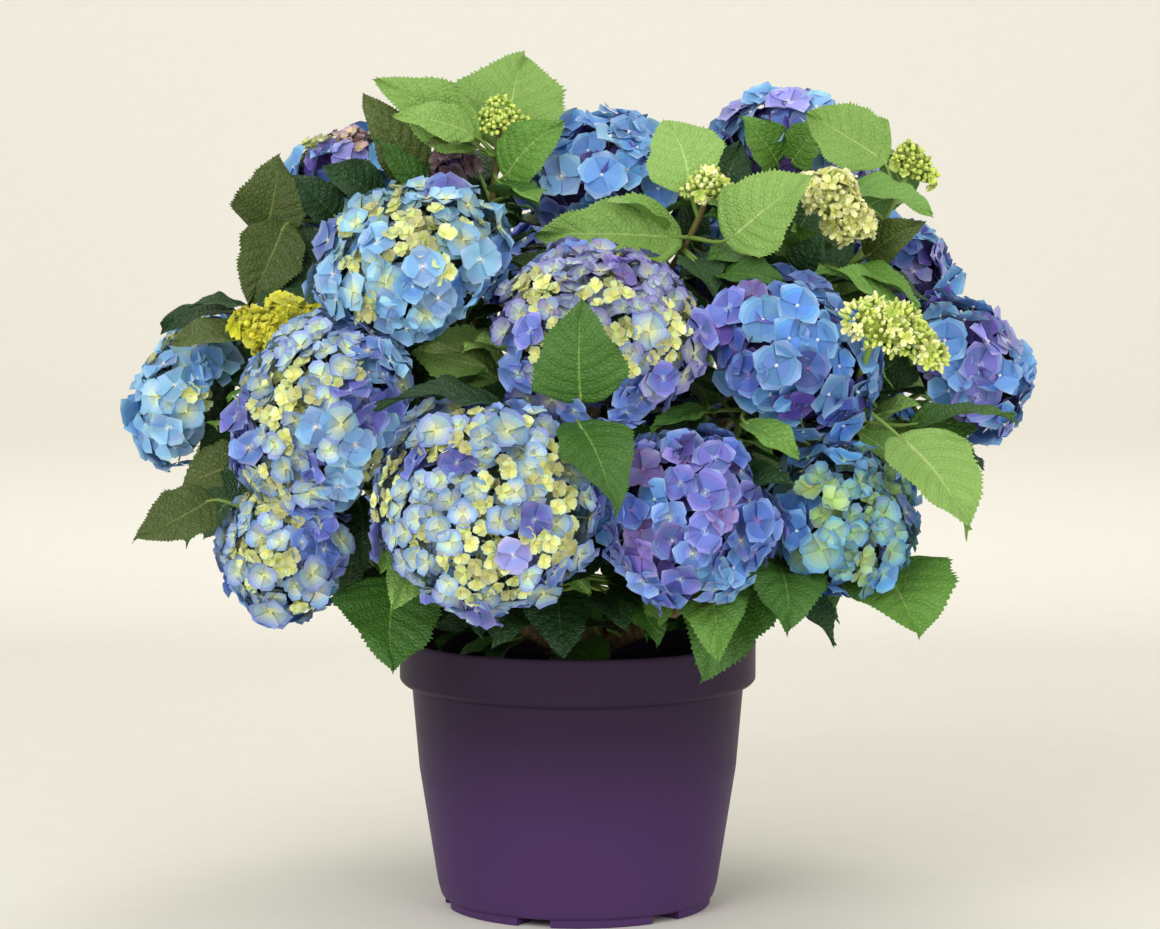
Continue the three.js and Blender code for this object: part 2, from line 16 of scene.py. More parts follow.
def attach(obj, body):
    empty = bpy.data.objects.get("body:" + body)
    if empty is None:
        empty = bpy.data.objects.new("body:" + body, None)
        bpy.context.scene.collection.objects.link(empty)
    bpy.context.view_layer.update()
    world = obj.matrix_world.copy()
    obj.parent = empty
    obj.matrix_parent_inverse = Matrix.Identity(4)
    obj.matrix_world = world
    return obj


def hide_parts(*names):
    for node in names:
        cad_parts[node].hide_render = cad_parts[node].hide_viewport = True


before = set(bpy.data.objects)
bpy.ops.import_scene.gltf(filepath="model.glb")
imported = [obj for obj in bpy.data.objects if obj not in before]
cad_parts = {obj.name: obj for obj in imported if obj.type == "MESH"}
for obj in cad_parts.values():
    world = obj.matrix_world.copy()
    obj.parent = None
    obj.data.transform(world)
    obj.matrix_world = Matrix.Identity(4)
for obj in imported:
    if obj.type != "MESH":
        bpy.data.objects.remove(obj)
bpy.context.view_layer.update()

MM = 0.001

# ---------- plan of the plant, as in the solids ----------

POT = {
    "rim_radius": 115.0,
    "height": 175.0,
    "rim_depth": 29.0,
    "rim_step": 6.0,
    "foot_radius": 86.0,
    "foot_height": 5.5,
    "wall": 2.2,
    "floor": 8.0,
    "channels": 6,
    "channel_width": 22.0,
    "channel_inner": 52.0,
    "first_channel": math.radians(-109),
    "ankle_height": 14.0,
    "ankle_radius": 90.5,
    "shoulder_drop": 3.0,
}
SHOULDER = POT["height"] - POT["rim_depth"]
WALL_RADIUS = POT["rim_radius"] - POT["rim_step"] - 1.9
SOIL_LEVEL = 141.0
SOIL_RISE = 1.5
GAP = 0.3
CROWN = {"height": 50.0, "radius": 17.0, "flare": 30.0, "boughs_start": 3}
# radii of the limbs, and how their curves are pulled, in shares of their reach
BOUGH = {"base": 5.8, "tip": 3.9, "rise": 0.18, "tip_back": 0.1, "tip_rise": 0.32}
STEM = {"base": 2.6, "tip": 1.9, "start": 0.35, "into_head": 0.4}
PETIOLE = 1.5
# the solids' florets on a head of 60 mm, and on a young head
HEAD_FLORETS = 13
BUD_FLORETS = 5
LEAF_STALK = 20.0
LEAF_WIDTH = 0.64
LEAF_SIDE = np.array((0.2, 0.1, 1))
# how far a leaf swings round its limb (radians) and shrinks, to find room
LEAF_TRIES = ((0, 1), (0.5, 0.9), (-0.5, 0.9), (1, 0.85), (-1, 0.85), (0.3, 0.65), (-0.3, 0.65))
# where leaves grow in pairs: shares along a stem, as in the solids, then for the small leaves
PAIR_SHARES = {"leafy": (0.3, 0.6, 0.9), "bloom": (0.35, 0.62), "bud": (0.35, 0.62)}
STEM_SHARES = (0.22, 0.48, 0.74)
BOUGH_SHARES = (0.2, 0.34, 0.5, 0.66, 0.82)
# blade lengths: the least and the range in the solids and on the stems, the least and most on boughs
LEAF_LENGTH = (66, 30)
STEM_LEAF_LENGTH = (44, 26)
BOUGH_LEAF_LENGTH = (42, 64)
SMALL_RISE = 0.5
SHADED = ("dark", "dark", "mid")
# small leaves keep outside heads grown by this scale and inside this share of the outline, and no
# more than a share of one comes within a few mm of another
CLEAR_SCALE = 1.02
INNER_SHARE = 0.8
CROSSED = {"share": 0.15, "room": 4}
# where a low leaf may hang inside the pot's mouth
POT_MOUTH = {"radius": 92, "level": 156}
OUTLINE = {"middle": (0, 0, 300), "half": (290, 250, 250), "lowest": 188}
HEAD_WRAP = math.radians(118)
GOLDEN_ANGLE = math.pi * (3 - math.sqrt(5))
PLANT_HEART = np.array((0.0, 0.0, 215.0))
UP = np.array((0.0, 0.0, 1.0))
# radians, for a random turn or phase
ANY_TURN = 6.28

# start azimuth (degrees), height on the crown, lean; tip
BOUGHS = {
    "front_left": ((-122, 15, 0.24), (-72, -90, 236)),
    "front_right": ((-52, 15, 0.24), (78, -85, 230)),
    "front_middle": ((-88, 33, 0.2), (-5, -72, 298)),
    "left": ((-172, 15, 0.24), (-130, -35, 266)),
    "left_top": ((178, 35, 0.2), (-72, -5, 350)),
    "middle_top": ((130, 50, 0.02), (22, 12, 372)),
    "right_top": ((12, 35, 0.2), (105, 5, 345)),
    "right": ((-6, 15, 0.24), (138, -22, 278)),
    "back_left": ((140, 15, 0.24), (-90, 88, 250)),
    "back_right": ((48, 15, 0.24), (92, 88, 250)),
    "back_middle": ((80, 33, 0.2), (8, 80, 322)),
}

# kind, bough, share along it, head centre, head size (radius, half height)
SHOOTS = {
    "flower_front_left": ("bloom", "front_left", 1.0, (-54, -188, 281), (68, 50)),
    "flower_front_middle": ("bloom", "front_right", 1.0, (68, -168, 271), (56, 44)),
    "flower_front_right": ("bloom", "front_right", 0.86, (160, -128, 262), (49, 42)),
    "flower_low_left": ("bloom", "left", 0.8, (-178, -122, 245), (43, 39)),
    "flower_left": ("bloom", "front_left", 0.86, (-156, -125, 329), (63, 46)),
    "flower_far_left": ("bloom", "left", 0.9, (-245, -18, 336), (50, 32)),
    "flower_upper_left": ("bloom", "left_top", 0.8, (-102, -98, 418), (62, 46)),
    "flower_middle": ("bloom", "front_middle", 1.0, (12, -140, 377), (65, 44)),
    "flower_right": ("bloom", "front_right", 0.73, (131, -112, 364), (57, 44)),
    "flower_far_right": ("bloom", "right", 0.9, (247, -18, 349), (45, 36)),
    "flower_upper_right": ("bloom", "right", 0.8, (207, 45, 403), (40, 34)),
    "flower_top": ("bloom", "middle_top", 1.0, (18, 0, 463), (56, 46)),
    "flower_top_right": ("bloom", "right_top", 0.94, (144, 72, 480), (53, 38)),
    "flower_top_left": ("bloom", "left_top", 0.7, (-149, 25, 463), (42, 35)),
    "flower_back_low_left": ("bloom", "back_left", 1.0, (-62, 188, 272), (60, 46)),
    "flower_back_low_right": ("bloom", "back_right", 1.0, (72, 186, 282), (58, 46)),
    "flower_back_right": ("bloom", "back_right", 0.86, (185, 122, 285), (52, 42)),
    "flower_back_left": ("bloom", "back_left", 0.86, (-183, 112, 288), (52, 42)),
    "flower_back_middle": ("bloom", "back_middle", 1.0, (-2, 150, 392), (60, 46)),
    "flower_back_upper_right": ("bloom", "back_middle", 0.86, (115, 140, 402), (52, 42)),
    "flower_back_upper_left": ("bloom", "back_left", 0.72, (-118, 128, 398), (54, 44)),
    "bud_top_left": ("bud", "left_top", 0.91, (-49, -45, 508), (15, 13)),
    "bud_top_middle": ("bud", "middle_top", 0.86, (82, -72, 465), (17, 12)),
    "bud_top_right": ("bud", "right_top", 1.0, (160, -58, 454), (23, 19)),
    "bud_far_right": ("bud", "right_top", 0.86, (212, -15, 478), (14, 12)),
    "bud_right": ("bud", "right", 1.0, (180, -158, 386), (28, 18)),
    "bud_left": ("bud", "left", 1.0, (-182, -62, 376), (23, 14)),
    "faded_head_top_left": ("bud", "left_top", 1.0, (-78, -48, 478), (13, 12)),
    "leaves_middle": ("leafy", "front_middle", 0.86, (0, -172, 334), (0, 0)),
    "leaves_low_front": ("leafy", "front_middle", 0.4, (2, -118, 222), (0, 0)),
    "leaves_back": ("leafy", "back_middle", 0.6, (60, 150, 340), (0, 0)),
}

# shoot, base of the blade, tip, width, the way it faces, and its green
PLACED_LEAVES = (
    ("bud_top_left", (-44, -25, 486), (-34, 6, 550), 68, "f", "light"),
    ("bud_top_left", (-46, -50, 471), (-10, -66, 507), 34, "f", "fresh"),
    ("bud_top_left", (-50, -52, 468), (-24, -84, 455), 22, "u", "mid"),
    ("bud_top_left", (-62, -50, 490), (-123, -64, 534), 38, "f", "light"),
    ("bud_top_left", (-64, -56, 498), (-113, -84, 511), 25, "f", "light"),
    ("bud_top_left", (-56, -58, 486), (-92, -80, 496), 15, "u", "olive"),
    ("faded_head_top_left", (-98, -30, 464), (-133, -45, 523), 34, "f", "olive"),
    ("faded_head_top_left", (-94, -42, 462), (-126, -62, 495), 20, "f", "mid"),
    ("flower_top_left", (-200, 0, 434), (-190, -16, 484), 46, "f", "olive"),
    ("flower_top_left", (-186, -14, 442), (-208, -38, 390), 42, "f", "olive"),
    ("flower_top_left", (-150, -18, 414), (-206, -48, 381), 42, "u", "dark"),
    ("flower_top_left", (-126, -12, 454), (-160, -36, 478), 30, "f", "dark"),
    ("flower_top_left", (-152, -24, 444), (-178, -42, 472), 28, "f", "dark"),
    ("bud_left", (-204, -52, 364), (-250, -84, 374), 42, "u", "olive"),
    ("bud_left", (-216, -26, 386), (-262, -46, 378), 20, "u", "dark"),
    ("bud_left", (-208, -30, 388), (-243, -52, 392), 18, "u", "dark"),
    ("flower_low_left", (-224, -112, 276), (-270, -142, 254), 36, "f", "olive"),
    ("flower_low_left", (-196, -66, 300), (-214, -92, 262), 34, "f", "dark"),
    ("flower_low_left", (-136, -98, 276), (-134, -130, 234), 34, "f", "dark"),
    ("leaves_middle", (2, -184, 340), (2, -206, 402), 54, "f", "mid"),
    ("leaves_middle", (0, -190, 330), (22, -252, 284), 44, "u", "mid"),
    ("leaves_middle", (-42, -168, 337), (-118, -206, 342), 34, "u", "dark"),
    ("leaves_middle", (-44, -140, 352), (-90, -164, 374), 24, "u", "olive"),
    ("bud_top_middle", (66, -60, 434), (-24, -84, 438), 46, "f", "light"),
    ("flower_right", (82, -122, 330), (44, -178, 322), 26, "u", "mid"),
    ("flower_right", (100, -150, 326), (132, -186, 310), 22, "u", "fresh"),
    ("bud_top_middle", (70, -70, 462), (54, -50, 508), 48, "f", "light"),
    ("bud_top_middle", (92, -88, 432), (143, -106, 474), 50, "f", "light"),
    ("bud_top_middle", (86, -86, 412), (126, -118, 408), 28, "u", "mid"),
    ("flower_top_right", (130, 36, 478), (106, 14, 508), 30, "f", "fresh"),
    ("flower_top_right", (138, 36, 478), (158, 14, 508), 28, "f", "fresh"),
    ("bud_far_right", (196, -22, 480), (146, -6, 511), 44, "f", "light"),
    ("bud_far_right", (170, -28, 464), (222, -54, 451), 34, "u", "fresh"),
    ("bud_far_right", (182, -32, 420), (214, -54, 444), 26, "f", "olive"),
    ("bud_top_right", (140, -66, 410), (152, -86, 436), 28, "f", "dark"),
    ("bud_right", (202, -76, 384), (150, -92, 418), 44, "u", "fresh"),
    ("bud_right", (176, -72, 312), (208, -96, 336), 24, "u", "light"),
    ("bud_right", (204, -92, 318), (268, -112, 328), 34, "u", "mid"),
    ("bud_right", (196, -122, 316), (236, -166, 262), 60, "u", "light"),
    ("flower_front_right", (188, -96, 234), (207, -160, 197), 74, "u", "fresh"),
    ("flower_front_left", (-110, -114, 226), (-112, -168, 176), 64, "f", "mid"),
    ("leaves_low_front", (-12, -118, 218), (-8, -164, 186), 42, "u", "dark"),
    ("leaves_low_front", (16, -112, 218), (31, -150, 200), 26, "u", "dark"),
    ("leaves_low_front", (36, -116, 214), (48, -158, 192), 28, "u", "mid"),
    ("leaves_low_front", (-40, -112, 214), (-52, -150, 190), 34, "f", "dark"),
    ("flower_front_middle", (112, -116, 234), (76, -166, 174), 62, "f", "mid"),
)
# shaded leaves that fill the gaps between the heads: the middle of the blade, its length, the way its
# tip points (degrees upwards from the plant's right) and its green
FILLING_LEAVES = (
    ((98, 40, 473), 42, 70, "dark"),
    ((205, 15, 471), 34, 120, "mid"),
    ((-62, 0, 461), 38, 100, "dark"),
    ((149, 35, 442), 50, 60, "dark"),
    ((71, 20, 441), 36, 100, "dark"),
    ((-172, -15, 424), 38, 110, "dark"),
    ((-73, -104, 360), 58, 168, "light"),
    ((-99, -45, 350), 46, 150, "dark"),
    ((-212, -35, 349), 40, 200, "dark"),
    ((204, -25, 354), 52, 40, "dark"),
    ((-226, -30, 312), 46, 230, "dark"),
    ((-229, -50, 283), 48, 200, "olive"),
    ((-223, -75, 261), 38, 230, "dark"),
    ((-144, -60, 221), 46, 260, "dark"),
    ((-44, 20, 452), 32, 80, "dark"),
    ((197, 30, 453), 34, 20, "mid"),
    ((237, -35, 315), 36, -10, "mid"),
    ((-81, -20, 190), 34, 200, "dark"),
    ((167, 25, 410), 40, 60, "dark"),
    ((-67, 20, 371), 38, 120, "dark"),
)
FACES = {"f": (0, -1, 0.45), "u": (0, -0.45, 1)}

# ---------- colours (sRGB, 0 to 255) ----------

# each kind of floret: its middle, the body of a petal, its margin, and how far out the middle tints it
FLORETS = {
    "sky_cream": ((232, 234, 160), (160, 206, 232), (134, 188, 230), 0.62),
    "light_blue": ((226, 236, 226), (132, 184, 232), (168, 208, 240), 0.26),
    "azure": ((216, 230, 244), (98, 154, 218), (154, 198, 236), 0.14),
    "steel": ((210, 226, 244), (84, 136, 206), (146, 188, 230), 0.12),
    "deep": ((130, 112, 186), (62, 94, 184), (122, 154, 220), 0.3),
    "purple": ((96, 66, 152), (84, 72, 160), (126, 116, 196), 0.4),
    "violet": ((170, 178, 218), (98, 108, 196), (150, 158, 226), 0.26),
    "periwinkle": ((214, 224, 200), (104, 136, 216), (156, 180, 236), 0.34),
    "cream_peri": ((222, 230, 160), (168, 194, 218), (118, 150, 220), 0.66),
    "cream_violet": ((206, 214, 156), (158, 168, 204), (118, 114, 194), 0.56),
    "cream": ((224, 228, 132), (222, 230, 158), (196, 212, 190), 0.9),
    "lilac": ((212, 212, 236), (146, 148, 222), (182, 182, 236), 0.26),
    "mauve": ((136, 104, 174), (128, 114, 194), (162, 152, 216), 0.36),
    "mauve_cream": ((222, 206, 140), (206, 184, 172), (168, 138, 180), 0.7),
    "green": ((168, 190, 110), (160, 194, 138), (130, 178, 170), 0.9),
    "green_blue": ((156, 194, 128), (132, 182, 184), (86, 142, 206), 0.66),
    "teal": ((150, 190, 166), (84, 142, 204), (114, 166, 218), 0.45),
    "yellow": ((186, 196, 44), (224, 220, 56), (236, 234, 92), 0.6),
    "lime": ((164, 190, 66), (204, 220, 104), (222, 234, 130), 0.6),
    "cream_bud": ((222, 232, 124), (250, 252, 170), (254, 254, 204), 0.6),
    "faded": ((76, 58, 50), (100, 70, 82), (122, 94, 104), 0.5),
}

# what each head is made of: shares of the kinds (its young florets are of the first), share of the
# head from its crest that is young, size of an open floret, and the kind of its youngest clusters
HEADS = {
    "flower_front_left": (
        {"cream_peri": 5, "periwinkle": 6, "violet": 2, "light_blue": 2}, 0.5, 13.5, "cream",
    ),
    "flower_front_middle": ({"violet": 3, "periwinkle": 3, "deep": 4, "azure": 2}, 0.0, 13.5, ""),
    "flower_front_right": (
        {"green_blue": 4, "teal": 6, "periwinkle": 2, "azure": 2}, 0.4, 14.0, "green",
    ),
    "flower_low_left": ({"cream_peri": 4, "periwinkle": 6, "azure": 2}, 0.45, 13.5, "cream"),
    "flower_left": (
        {"cream_peri": 5, "periwinkle": 6, "violet": 2, "light_blue": 2}, 0.5, 13.5, "cream",
    ),
    "flower_far_left": ({"light_blue": 7, "azure": 4, "sky_cream": 2}, 0.12, 14.0, "cream"),
    "flower_upper_left": ({"sky_cream": 5, "light_blue": 6, "azure": 2}, 0.28, 14.0, "cream"),
    "flower_middle": (
        {"cream_violet": 4, "violet": 4, "periwinkle": 5, "cream_peri": 2}, 0.4, 13.5, "cream",
    ),
    "flower_right": ({"steel": 7, "deep": 3, "azure": 2}, 0.0, 15.5, ""),
    "flower_far_right": ({"azure": 5, "steel": 4, "violet": 2, "lilac": 1}, 0.0, 15.0, ""),
    "flower_upper_right": ({"azure": 4, "lilac": 3, "deep": 2}, 0.0, 15.0, ""),
    "flower_top": ({"steel": 5, "azure": 5, "violet": 1, "light_blue": 1}, 0.0, 15.5, ""),
    "flower_top_right": ({"azure": 4, "light_blue": 3, "lilac": 2, "periwinkle": 2}, 0.0, 14.5, ""),
    "flower_top_left": ({"azure": 5, "lilac": 2, "sky_cream": 2, "deep": 2}, 0.15, 14.0, "cream"),
    "flower_back_low_left": ({"cream_peri": 2, "periwinkle": 5, "violet": 3}, 0.3, 14.0, "cream"),
    "flower_back_low_right": ({"steel": 4, "azure": 4, "lilac": 2}, 0.0, 15.0, ""),
    "flower_back_right": ({"teal": 4, "azure": 4, "green_blue": 2}, 0.2, 14.5, "green"),
    "flower_back_left": ({"light_blue": 4, "sky_cream": 3, "azure": 2}, 0.2, 14.0, "cream"),
    "flower_back_middle": ({"periwinkle": 4, "violet": 3, "lilac": 2}, 0.0, 14.5, ""),
    "flower_back_upper_right": ({"azure": 5, "steel": 3, "purple": 1}, 0.0, 15.0, ""),
    "flower_back_upper_left": ({"sky_cream": 3, "light_blue": 4, "lilac": 2}, 0.25, 14.0, "cream"),
    "bud_top_left": ({"lime": 1}, 0.0, 4.2, ""),
    "bud_top_middle": ({"lime": 4, "cream_bud": 1}, 0.0, 4.4, ""),
    "bud_top_right": ({"cream_bud": 1}, 0.0, 7.0, ""),
    "bud_far_right": ({"lime": 1}, 0.0, 4.2, ""),
    "bud_right": ({"lime": 2, "cream_bud": 1}, 0.0, 5.2, ""),
    "bud_left": ({"yellow": 1}, 0.0, 8.0, ""),
    "faded_head_top_left": ({"faded": 1}, 0.0, 9.0, ""),
}

# patches on the front of a head, seen from straight in front: centre (x, z), reach, kind of floret
# and its age (0 smallest, 1 young, 2 open)
PATCHES = {
    "flower_top_left": (
        ((-144, 499), 13, "mauve_cream", 0), ((-163, 474), 8, "purple", 2),
        ((-177, 481), 8, "azure", 2),
    ),
    "flower_upper_left": (
        ((-95, 441), 15, "cream", 0), ((-130, 396), 8, "cream", 0),
        ((-83, 417), 6, "cream", 0), ((-62, 445), 6, "cream", 0),
        ((-110, 453), 7, "cream", 0), ((-143, 433), 8, "periwinkle", 2),
        ((-86, 466), 7, "violet", 2), ((-47, 421), 8, "steel", 2),
    ),
    "flower_left": (
        ((-169, 344), 12, "cream", 0), ((-129, 364), 7, "cream", 0),
        ((-125, 299), 8, "cream", 0), ((-152, 293), 7, "cream", 0),
        ((-199, 344), 9, "periwinkle", 2), ((-210, 323), 10, "violet", 2),
        ((-205, 304), 9, "violet", 2), ((-130, 381), 10, "periwinkle", 2),
        ((-188, 308), 8, "periwinkle", 2),
    ),
    "flower_front_left": (
        ((-63, 323), 8, "cream", 0), ((-46, 298), 10, "cream", 0),
        ((-14, 309), 9, "cream", 0), ((-93, 264), 7, "cream", 0),
        ((-75, 252), 7, "cream", 0), ((-41, 241), 11, "cream", 0),
        ((-55, 279), 7, "cream", 0), ((-63, 306), 7, "violet", 2),
        ((-23, 279), 8, "violet", 2), ((-39, 262), 7, "lilac", 2),
        ((-97, 308), 11, "violet", 2), ((-83, 335), 10, "violet", 2),
        ((-38, 340), 8, "periwinkle", 2), ((0, 321), 10, "periwinkle", 2),
        ((7, 294), 8, "azure", 2),
    ),
    "flower_middle": (
        ((22, 409), 8, "cream", 0), ((16, 380), 8, "cream", 0),
        ((60, 379), 9, "cream", 0), ((-25, 405), 11, "cream", 0),
        ((65, 403), 7, "cream", 0), ((-17, 387), 6, "cream", 0),
        ((30, 365), 6, "cream", 0), ((-38, 367), 11, "periwinkle", 2),
        ((-43, 390), 8, "violet", 2), ((31, 352), 12, "periwinkle", 2),
        ((28, 426), 13, "mauve", 1), ((73, 385), 8, "violet", 2),
    ),
    "flower_front_middle": (
        ((69, 310), 9, "mauve", 2), ((48, 299), 8, "mauve", 2),
        ((33, 264), 9, "mauve", 2), ((45, 244), 10, "mauve", 2),
        ((70, 225), 10, "mauve", 2), ((85, 270), 7, "mauve", 2),
        ((64, 281), 8, "deep", 2), ((102, 303), 8, "periwinkle", 2),
    ),
    "flower_front_right": (
        ((160, 293), 7, "green_blue", 1), ((149, 277), 13, "green", 1),
        ((171, 244), 13, "green", 1), ((197, 298), 9, "violet", 2),
        ((203, 273), 8, "periwinkle", 2), ((196, 252), 7, "violet", 2),
        ((131, 268), 12, "steel", 2), ((176, 317), 7, "periwinkle", 2),
    ),
    "flower_right": (
        ((84, 391), 10, "violet", 2), ((86, 368), 8, "violet", 2),
        ((108, 399), 6, "mauve", 1),
    ),
    "flower_far_right": (
        ((260, 368), 10, "lilac", 2), ((242, 334), 7, "purple", 2),
    ),
    "flower_top": (
        ((43, 470), 8, "violet", 2), ((64, 438), 10, "deep", 2),
        ((-29, 456), 8, "deep", 2),
    ),
    "flower_top_right": (
        ((135, 520), 10, "lilac", 2),
    ),
    "flower_low_left": (
        ((-149, 267), 9, "violet", 2), ((-150, 234), 7, "violet", 2),
        ((-183, 246), 9, "cream", 0), ((-168, 261), 7, "cream", 0),
        ((-207, 264), 7, "periwinkle", 2), ((-168, 213), 6, "cream", 0),
    ),
    "flower_far_left": (
        ((-239, 333), 8, "cream", 0), ((-252, 330), 7, "sky_cream", 1),
        ((-214, 305), 8, "violet", 2),
    ),
}

# each young head: share of its buds that are open, its clusters (centre, size, how full), the size
# of a bud, how tall it is, and how broad the petals of an open one are
ROUND_PETALS = (0.6, 0.72)
POINTED_PETALS = (0.36, 0.46)
BUD_HEADS = {
    "bud_top_left": (0.0, (
        ((-55, -46, 506), (8, 7), 5), ((-43, -48, 507), (8, 7), 5), ((-49, -44, 514), (8, 7), 5),
        ((-36, -46, 504), (6, 5), 3), ((-50, -52, 503), (7, 6), 4),
    ), 1.7, 1.0, ROUND_PETALS),
    "bud_top_middle": (0.1, (
        ((74, -74, 463), (8, 7), 5), ((88, -73, 465), (9, 7), 5), ((81, -70, 471), (8, 6), 4),
        ((94, -70, 460), (6, 5), 3),
    ), 1.8, 1.2, ROUND_PETALS),
    "bud_top_right": (0.6, (
        ((148, -60, 463), (9, 8), 5), ((161, -60, 465), (10, 8), 5), ((155, -62, 453), (10, 8), 5),
        ((168, -60, 452), (10, 8), 4), ((177, -62, 443), (7, 6), 3), ((164, -64, 441), (8, 7), 4),
    ), 2.0, 1.7, POINTED_PETALS),
    "bud_far_right": (0.2, (
        ((206, -16, 478), (8, 7), 5), ((217, -15, 476), (8, 7), 5), ((212, -14, 484), (8, 6), 4),
        ((222, -15, 470), (6, 5), 3),
    ), 1.8, 1.2, ROUND_PETALS),
    "bud_right": (0.22, (
        ((172, -158, 386), (13, 9), 8), ((186, -160, 382), (14, 9), 8), ((196, -158, 388), (11, 8), 7),
        ((203, -156, 376), (12, 8), 7), ((214, -150, 368), (9, 6), 6), ((180, -154, 393), (9, 7), 6),
    ), 1.6, 2.0, POINTED_PETALS),
    "bud_left": (0.55, (
        ((-205, -74, 380), (8, 7), 4), ((-194, -80, 375), (10, 7), 5), ((-183, -84, 376), (9, 8), 5),
        ((-176, -86, 384), (8, 7), 4), ((-166, -88, 380), (9, 6), 4), ((-156, -86, 386), (8, 6), 4),
        ((-188, -86, 366), (9, 8), 5), ((-184, -72, 386), (8, 7), 4),
    ), 2.2, 1.2, ROUND_PETALS),
}

# each green of a leaf: blade beside the veins (darker, as painted shade in the sunken grooves), blade
# between them, veins, margin
GREENS = {
    "light": ((132, 172, 82), (139, 180, 90), (176, 202, 124), (137, 178, 88)),
    "fresh": ((102, 148, 60), (110, 157, 66), (154, 188, 102), (108, 155, 66)),
    "mid": ((63, 107, 37), (71, 116, 42), (118, 155, 74), (69, 113, 42)),
    "dark": ((32, 66, 30), (38, 74, 34), (78, 112, 58), (36, 72, 34)),
    "olive": ((73, 91, 35), (81, 99, 40), (122, 136, 70), (80, 98, 39)),
}


# ---------- numbers and curves ----------


def seeded(seed):
    """The repeatable stream of numbers from 0 to 1 that the solids use."""
    state = seed & 0xFFFFFFFF

    def draw():
        nonlocal state
        state = (state + 0x6D2B79F5) & 0xFFFFFFFF
        t = ((state ^ (state >> 15)) * (state | 1)) & 0xFFFFFFFF
        t = (t ^ (t + (((t ^ (t >> 7)) * (t | 61)) & 0xFFFFFFFF))) & 0xFFFFFFFF
        return ((t ^ (t >> 14)) & 0xFFFFFFFF) / 4294967296

    return draw


def unit(v):
    return v / np.linalg.norm(v)


def square_to(direction, axis):
    """The unit vector nearest to a direction that is square to an axis."""
    side = direction - axis * np.dot(direction, axis)
    if np.linalg.norm(side) < 1e-3:
        side = np.array((axis[1], axis[2], axis[0]))
        side = side - axis * np.dot(side, axis)
    return unit(side)


class Curve:
    """A cubic curve through space, from its four control points."""

    def __init__(self, *controls):
        self.controls = np.array(controls, float)

    def point(self, t):
        a, b, c, d = self.controls
        s = 1 - t
        return s**3 * a + 3 * s * s * t * b + 3 * s * t * t * c + t**3 * d

    def tangent(self, t):
        a, b, c, d = self.controls
        s = 1 - t
        return unit(s * s * (b - a) + 2 * s * t * (c - b) + t * t * (d - c))


# ---------- materials ----------


def linear(colour):
    """An sRGB colour from 0 to 255 as the linear colour that shaders take."""
    share = [c / 255 for c in colour]
    return [c / 12.92 if c <= 0.04045 else ((c + 0.055) / 1.055) ** 2.4 for c in share]


class Nodes:
    """Short ways to add nodes to one material."""

    def __init__(self, name):
        self.material = bpy.data.materials.new(name)
        self.material.use_nodes = True
        self.tree = self.material.node_tree
        self.shader = self.tree.nodes["Principled BSDF"]

    def add(self, kind, inputs=(), **settings):
        node = self.tree.nodes.new(kind)
        for key, value in settings.items():
            setattr(node, key, value)
        for socket, value in dict(inputs).items():
            if isinstance(value, bpy.types.NodeSocket):
                self.tree.links.new(value, node.inputs[socket])
            else:
                node.inputs[socket].default_value = value
        return node

    def where(self):
        return self.add("ShaderNodeTexCoord").outputs["Object"]

    def noise(self, place, scale, detail=3.0, roughness=0.55):
        inputs = {"Vector": place, "Scale": scale, "Detail": detail, "Roughness": roughness}
        return self.add("ShaderNodeTexNoise", inputs).outputs["Fac"]

    def stretch(self, place, scale):
        return self.add("ShaderNodeMapping", {"Vector": place, "Scale": scale}).outputs["Vector"]

    def ramp(self, factor, stops):
        node = self.add("ShaderNodeValToRGB", {"Fac": factor})
        ramp = node.color_ramp
        while len(ramp.elements) < len(stops):
            ramp.elements.new(0.5)
        for element, (place, colour) in zip(ramp.elements, stops):
            element.position = place
            element.color = (*linear(colour), 1)
        return node.outputs["Color"]

    def span(self, factor, low, high):
        node = self.add("ShaderNodeMapRange", {"Value": factor, "To Min": low, "To Max": high})
        return node.outputs["Result"]

    def maths(self, operation, a, b):
        return self.add("ShaderNodeMath", {0: a, 1: b}, operation=operation).outputs[0]

    def bump(self, height, distance, strength=1.0):
        inputs = {"Height": height, "Distance": distance, "Strength": strength}
        return self.add("ShaderNodeBump", inputs).outputs["Normal"]

    def link(self, socket, output):
        self.tree.links.new(output, self.shader.inputs[socket])

    def set(self, **values):
        for socket, value in values.items():
            self.shader.inputs[socket.replace("_", " ")].default_value = value

    def skin(self, roughness, normal, colour=None):
        """The finished material, with its roughness, its relief and, where it varies, its colour."""
        self.link("Roughness", roughness)
        self.link("Normal", normal)
        if colour is not None:
            self.link("Base Color", colour)
        return self.material


def petal_material(name, colour):
    """A petal's plain colour under a fine satin grain."""
    n = Nodes(name)
    place = n.where()
    grain = n.noise(n.stretch(place, (900, 900, 900)), 1.0, 2.0)
    n.set(Base_Color=(*linear(colour), 1), Sheen_Weight=0.12, Sheen_Roughness=0.5)
    return n.skin(n.span(grain, 0.42, 0.62), n.bump(grain, 0.0004, 0.5))


def leaf_material(name, colour):
    """A leaf's plain colour with fine net veins and a satin skin."""
    n = Nodes(name)
    place = n.where()
    cells = n.add("ShaderNodeTexVoronoi", {"Vector": place, "Scale": 330.0}, feature="DISTANCE_TO_EDGE")
    net = n.maths("MINIMUM", cells.outputs["Distance"], 0.22)
    grain = n.noise(place, 160.0, 4.0)
    n.set(Base_Color=(*linear(colour), 1))
    relief = n.maths("ADD", net, n.maths("MULTIPLY", grain, 0.3))
    return n.skin(n.span(grain, 0.4, 0.6), n.bump(relief, 0.0024, 0.8))


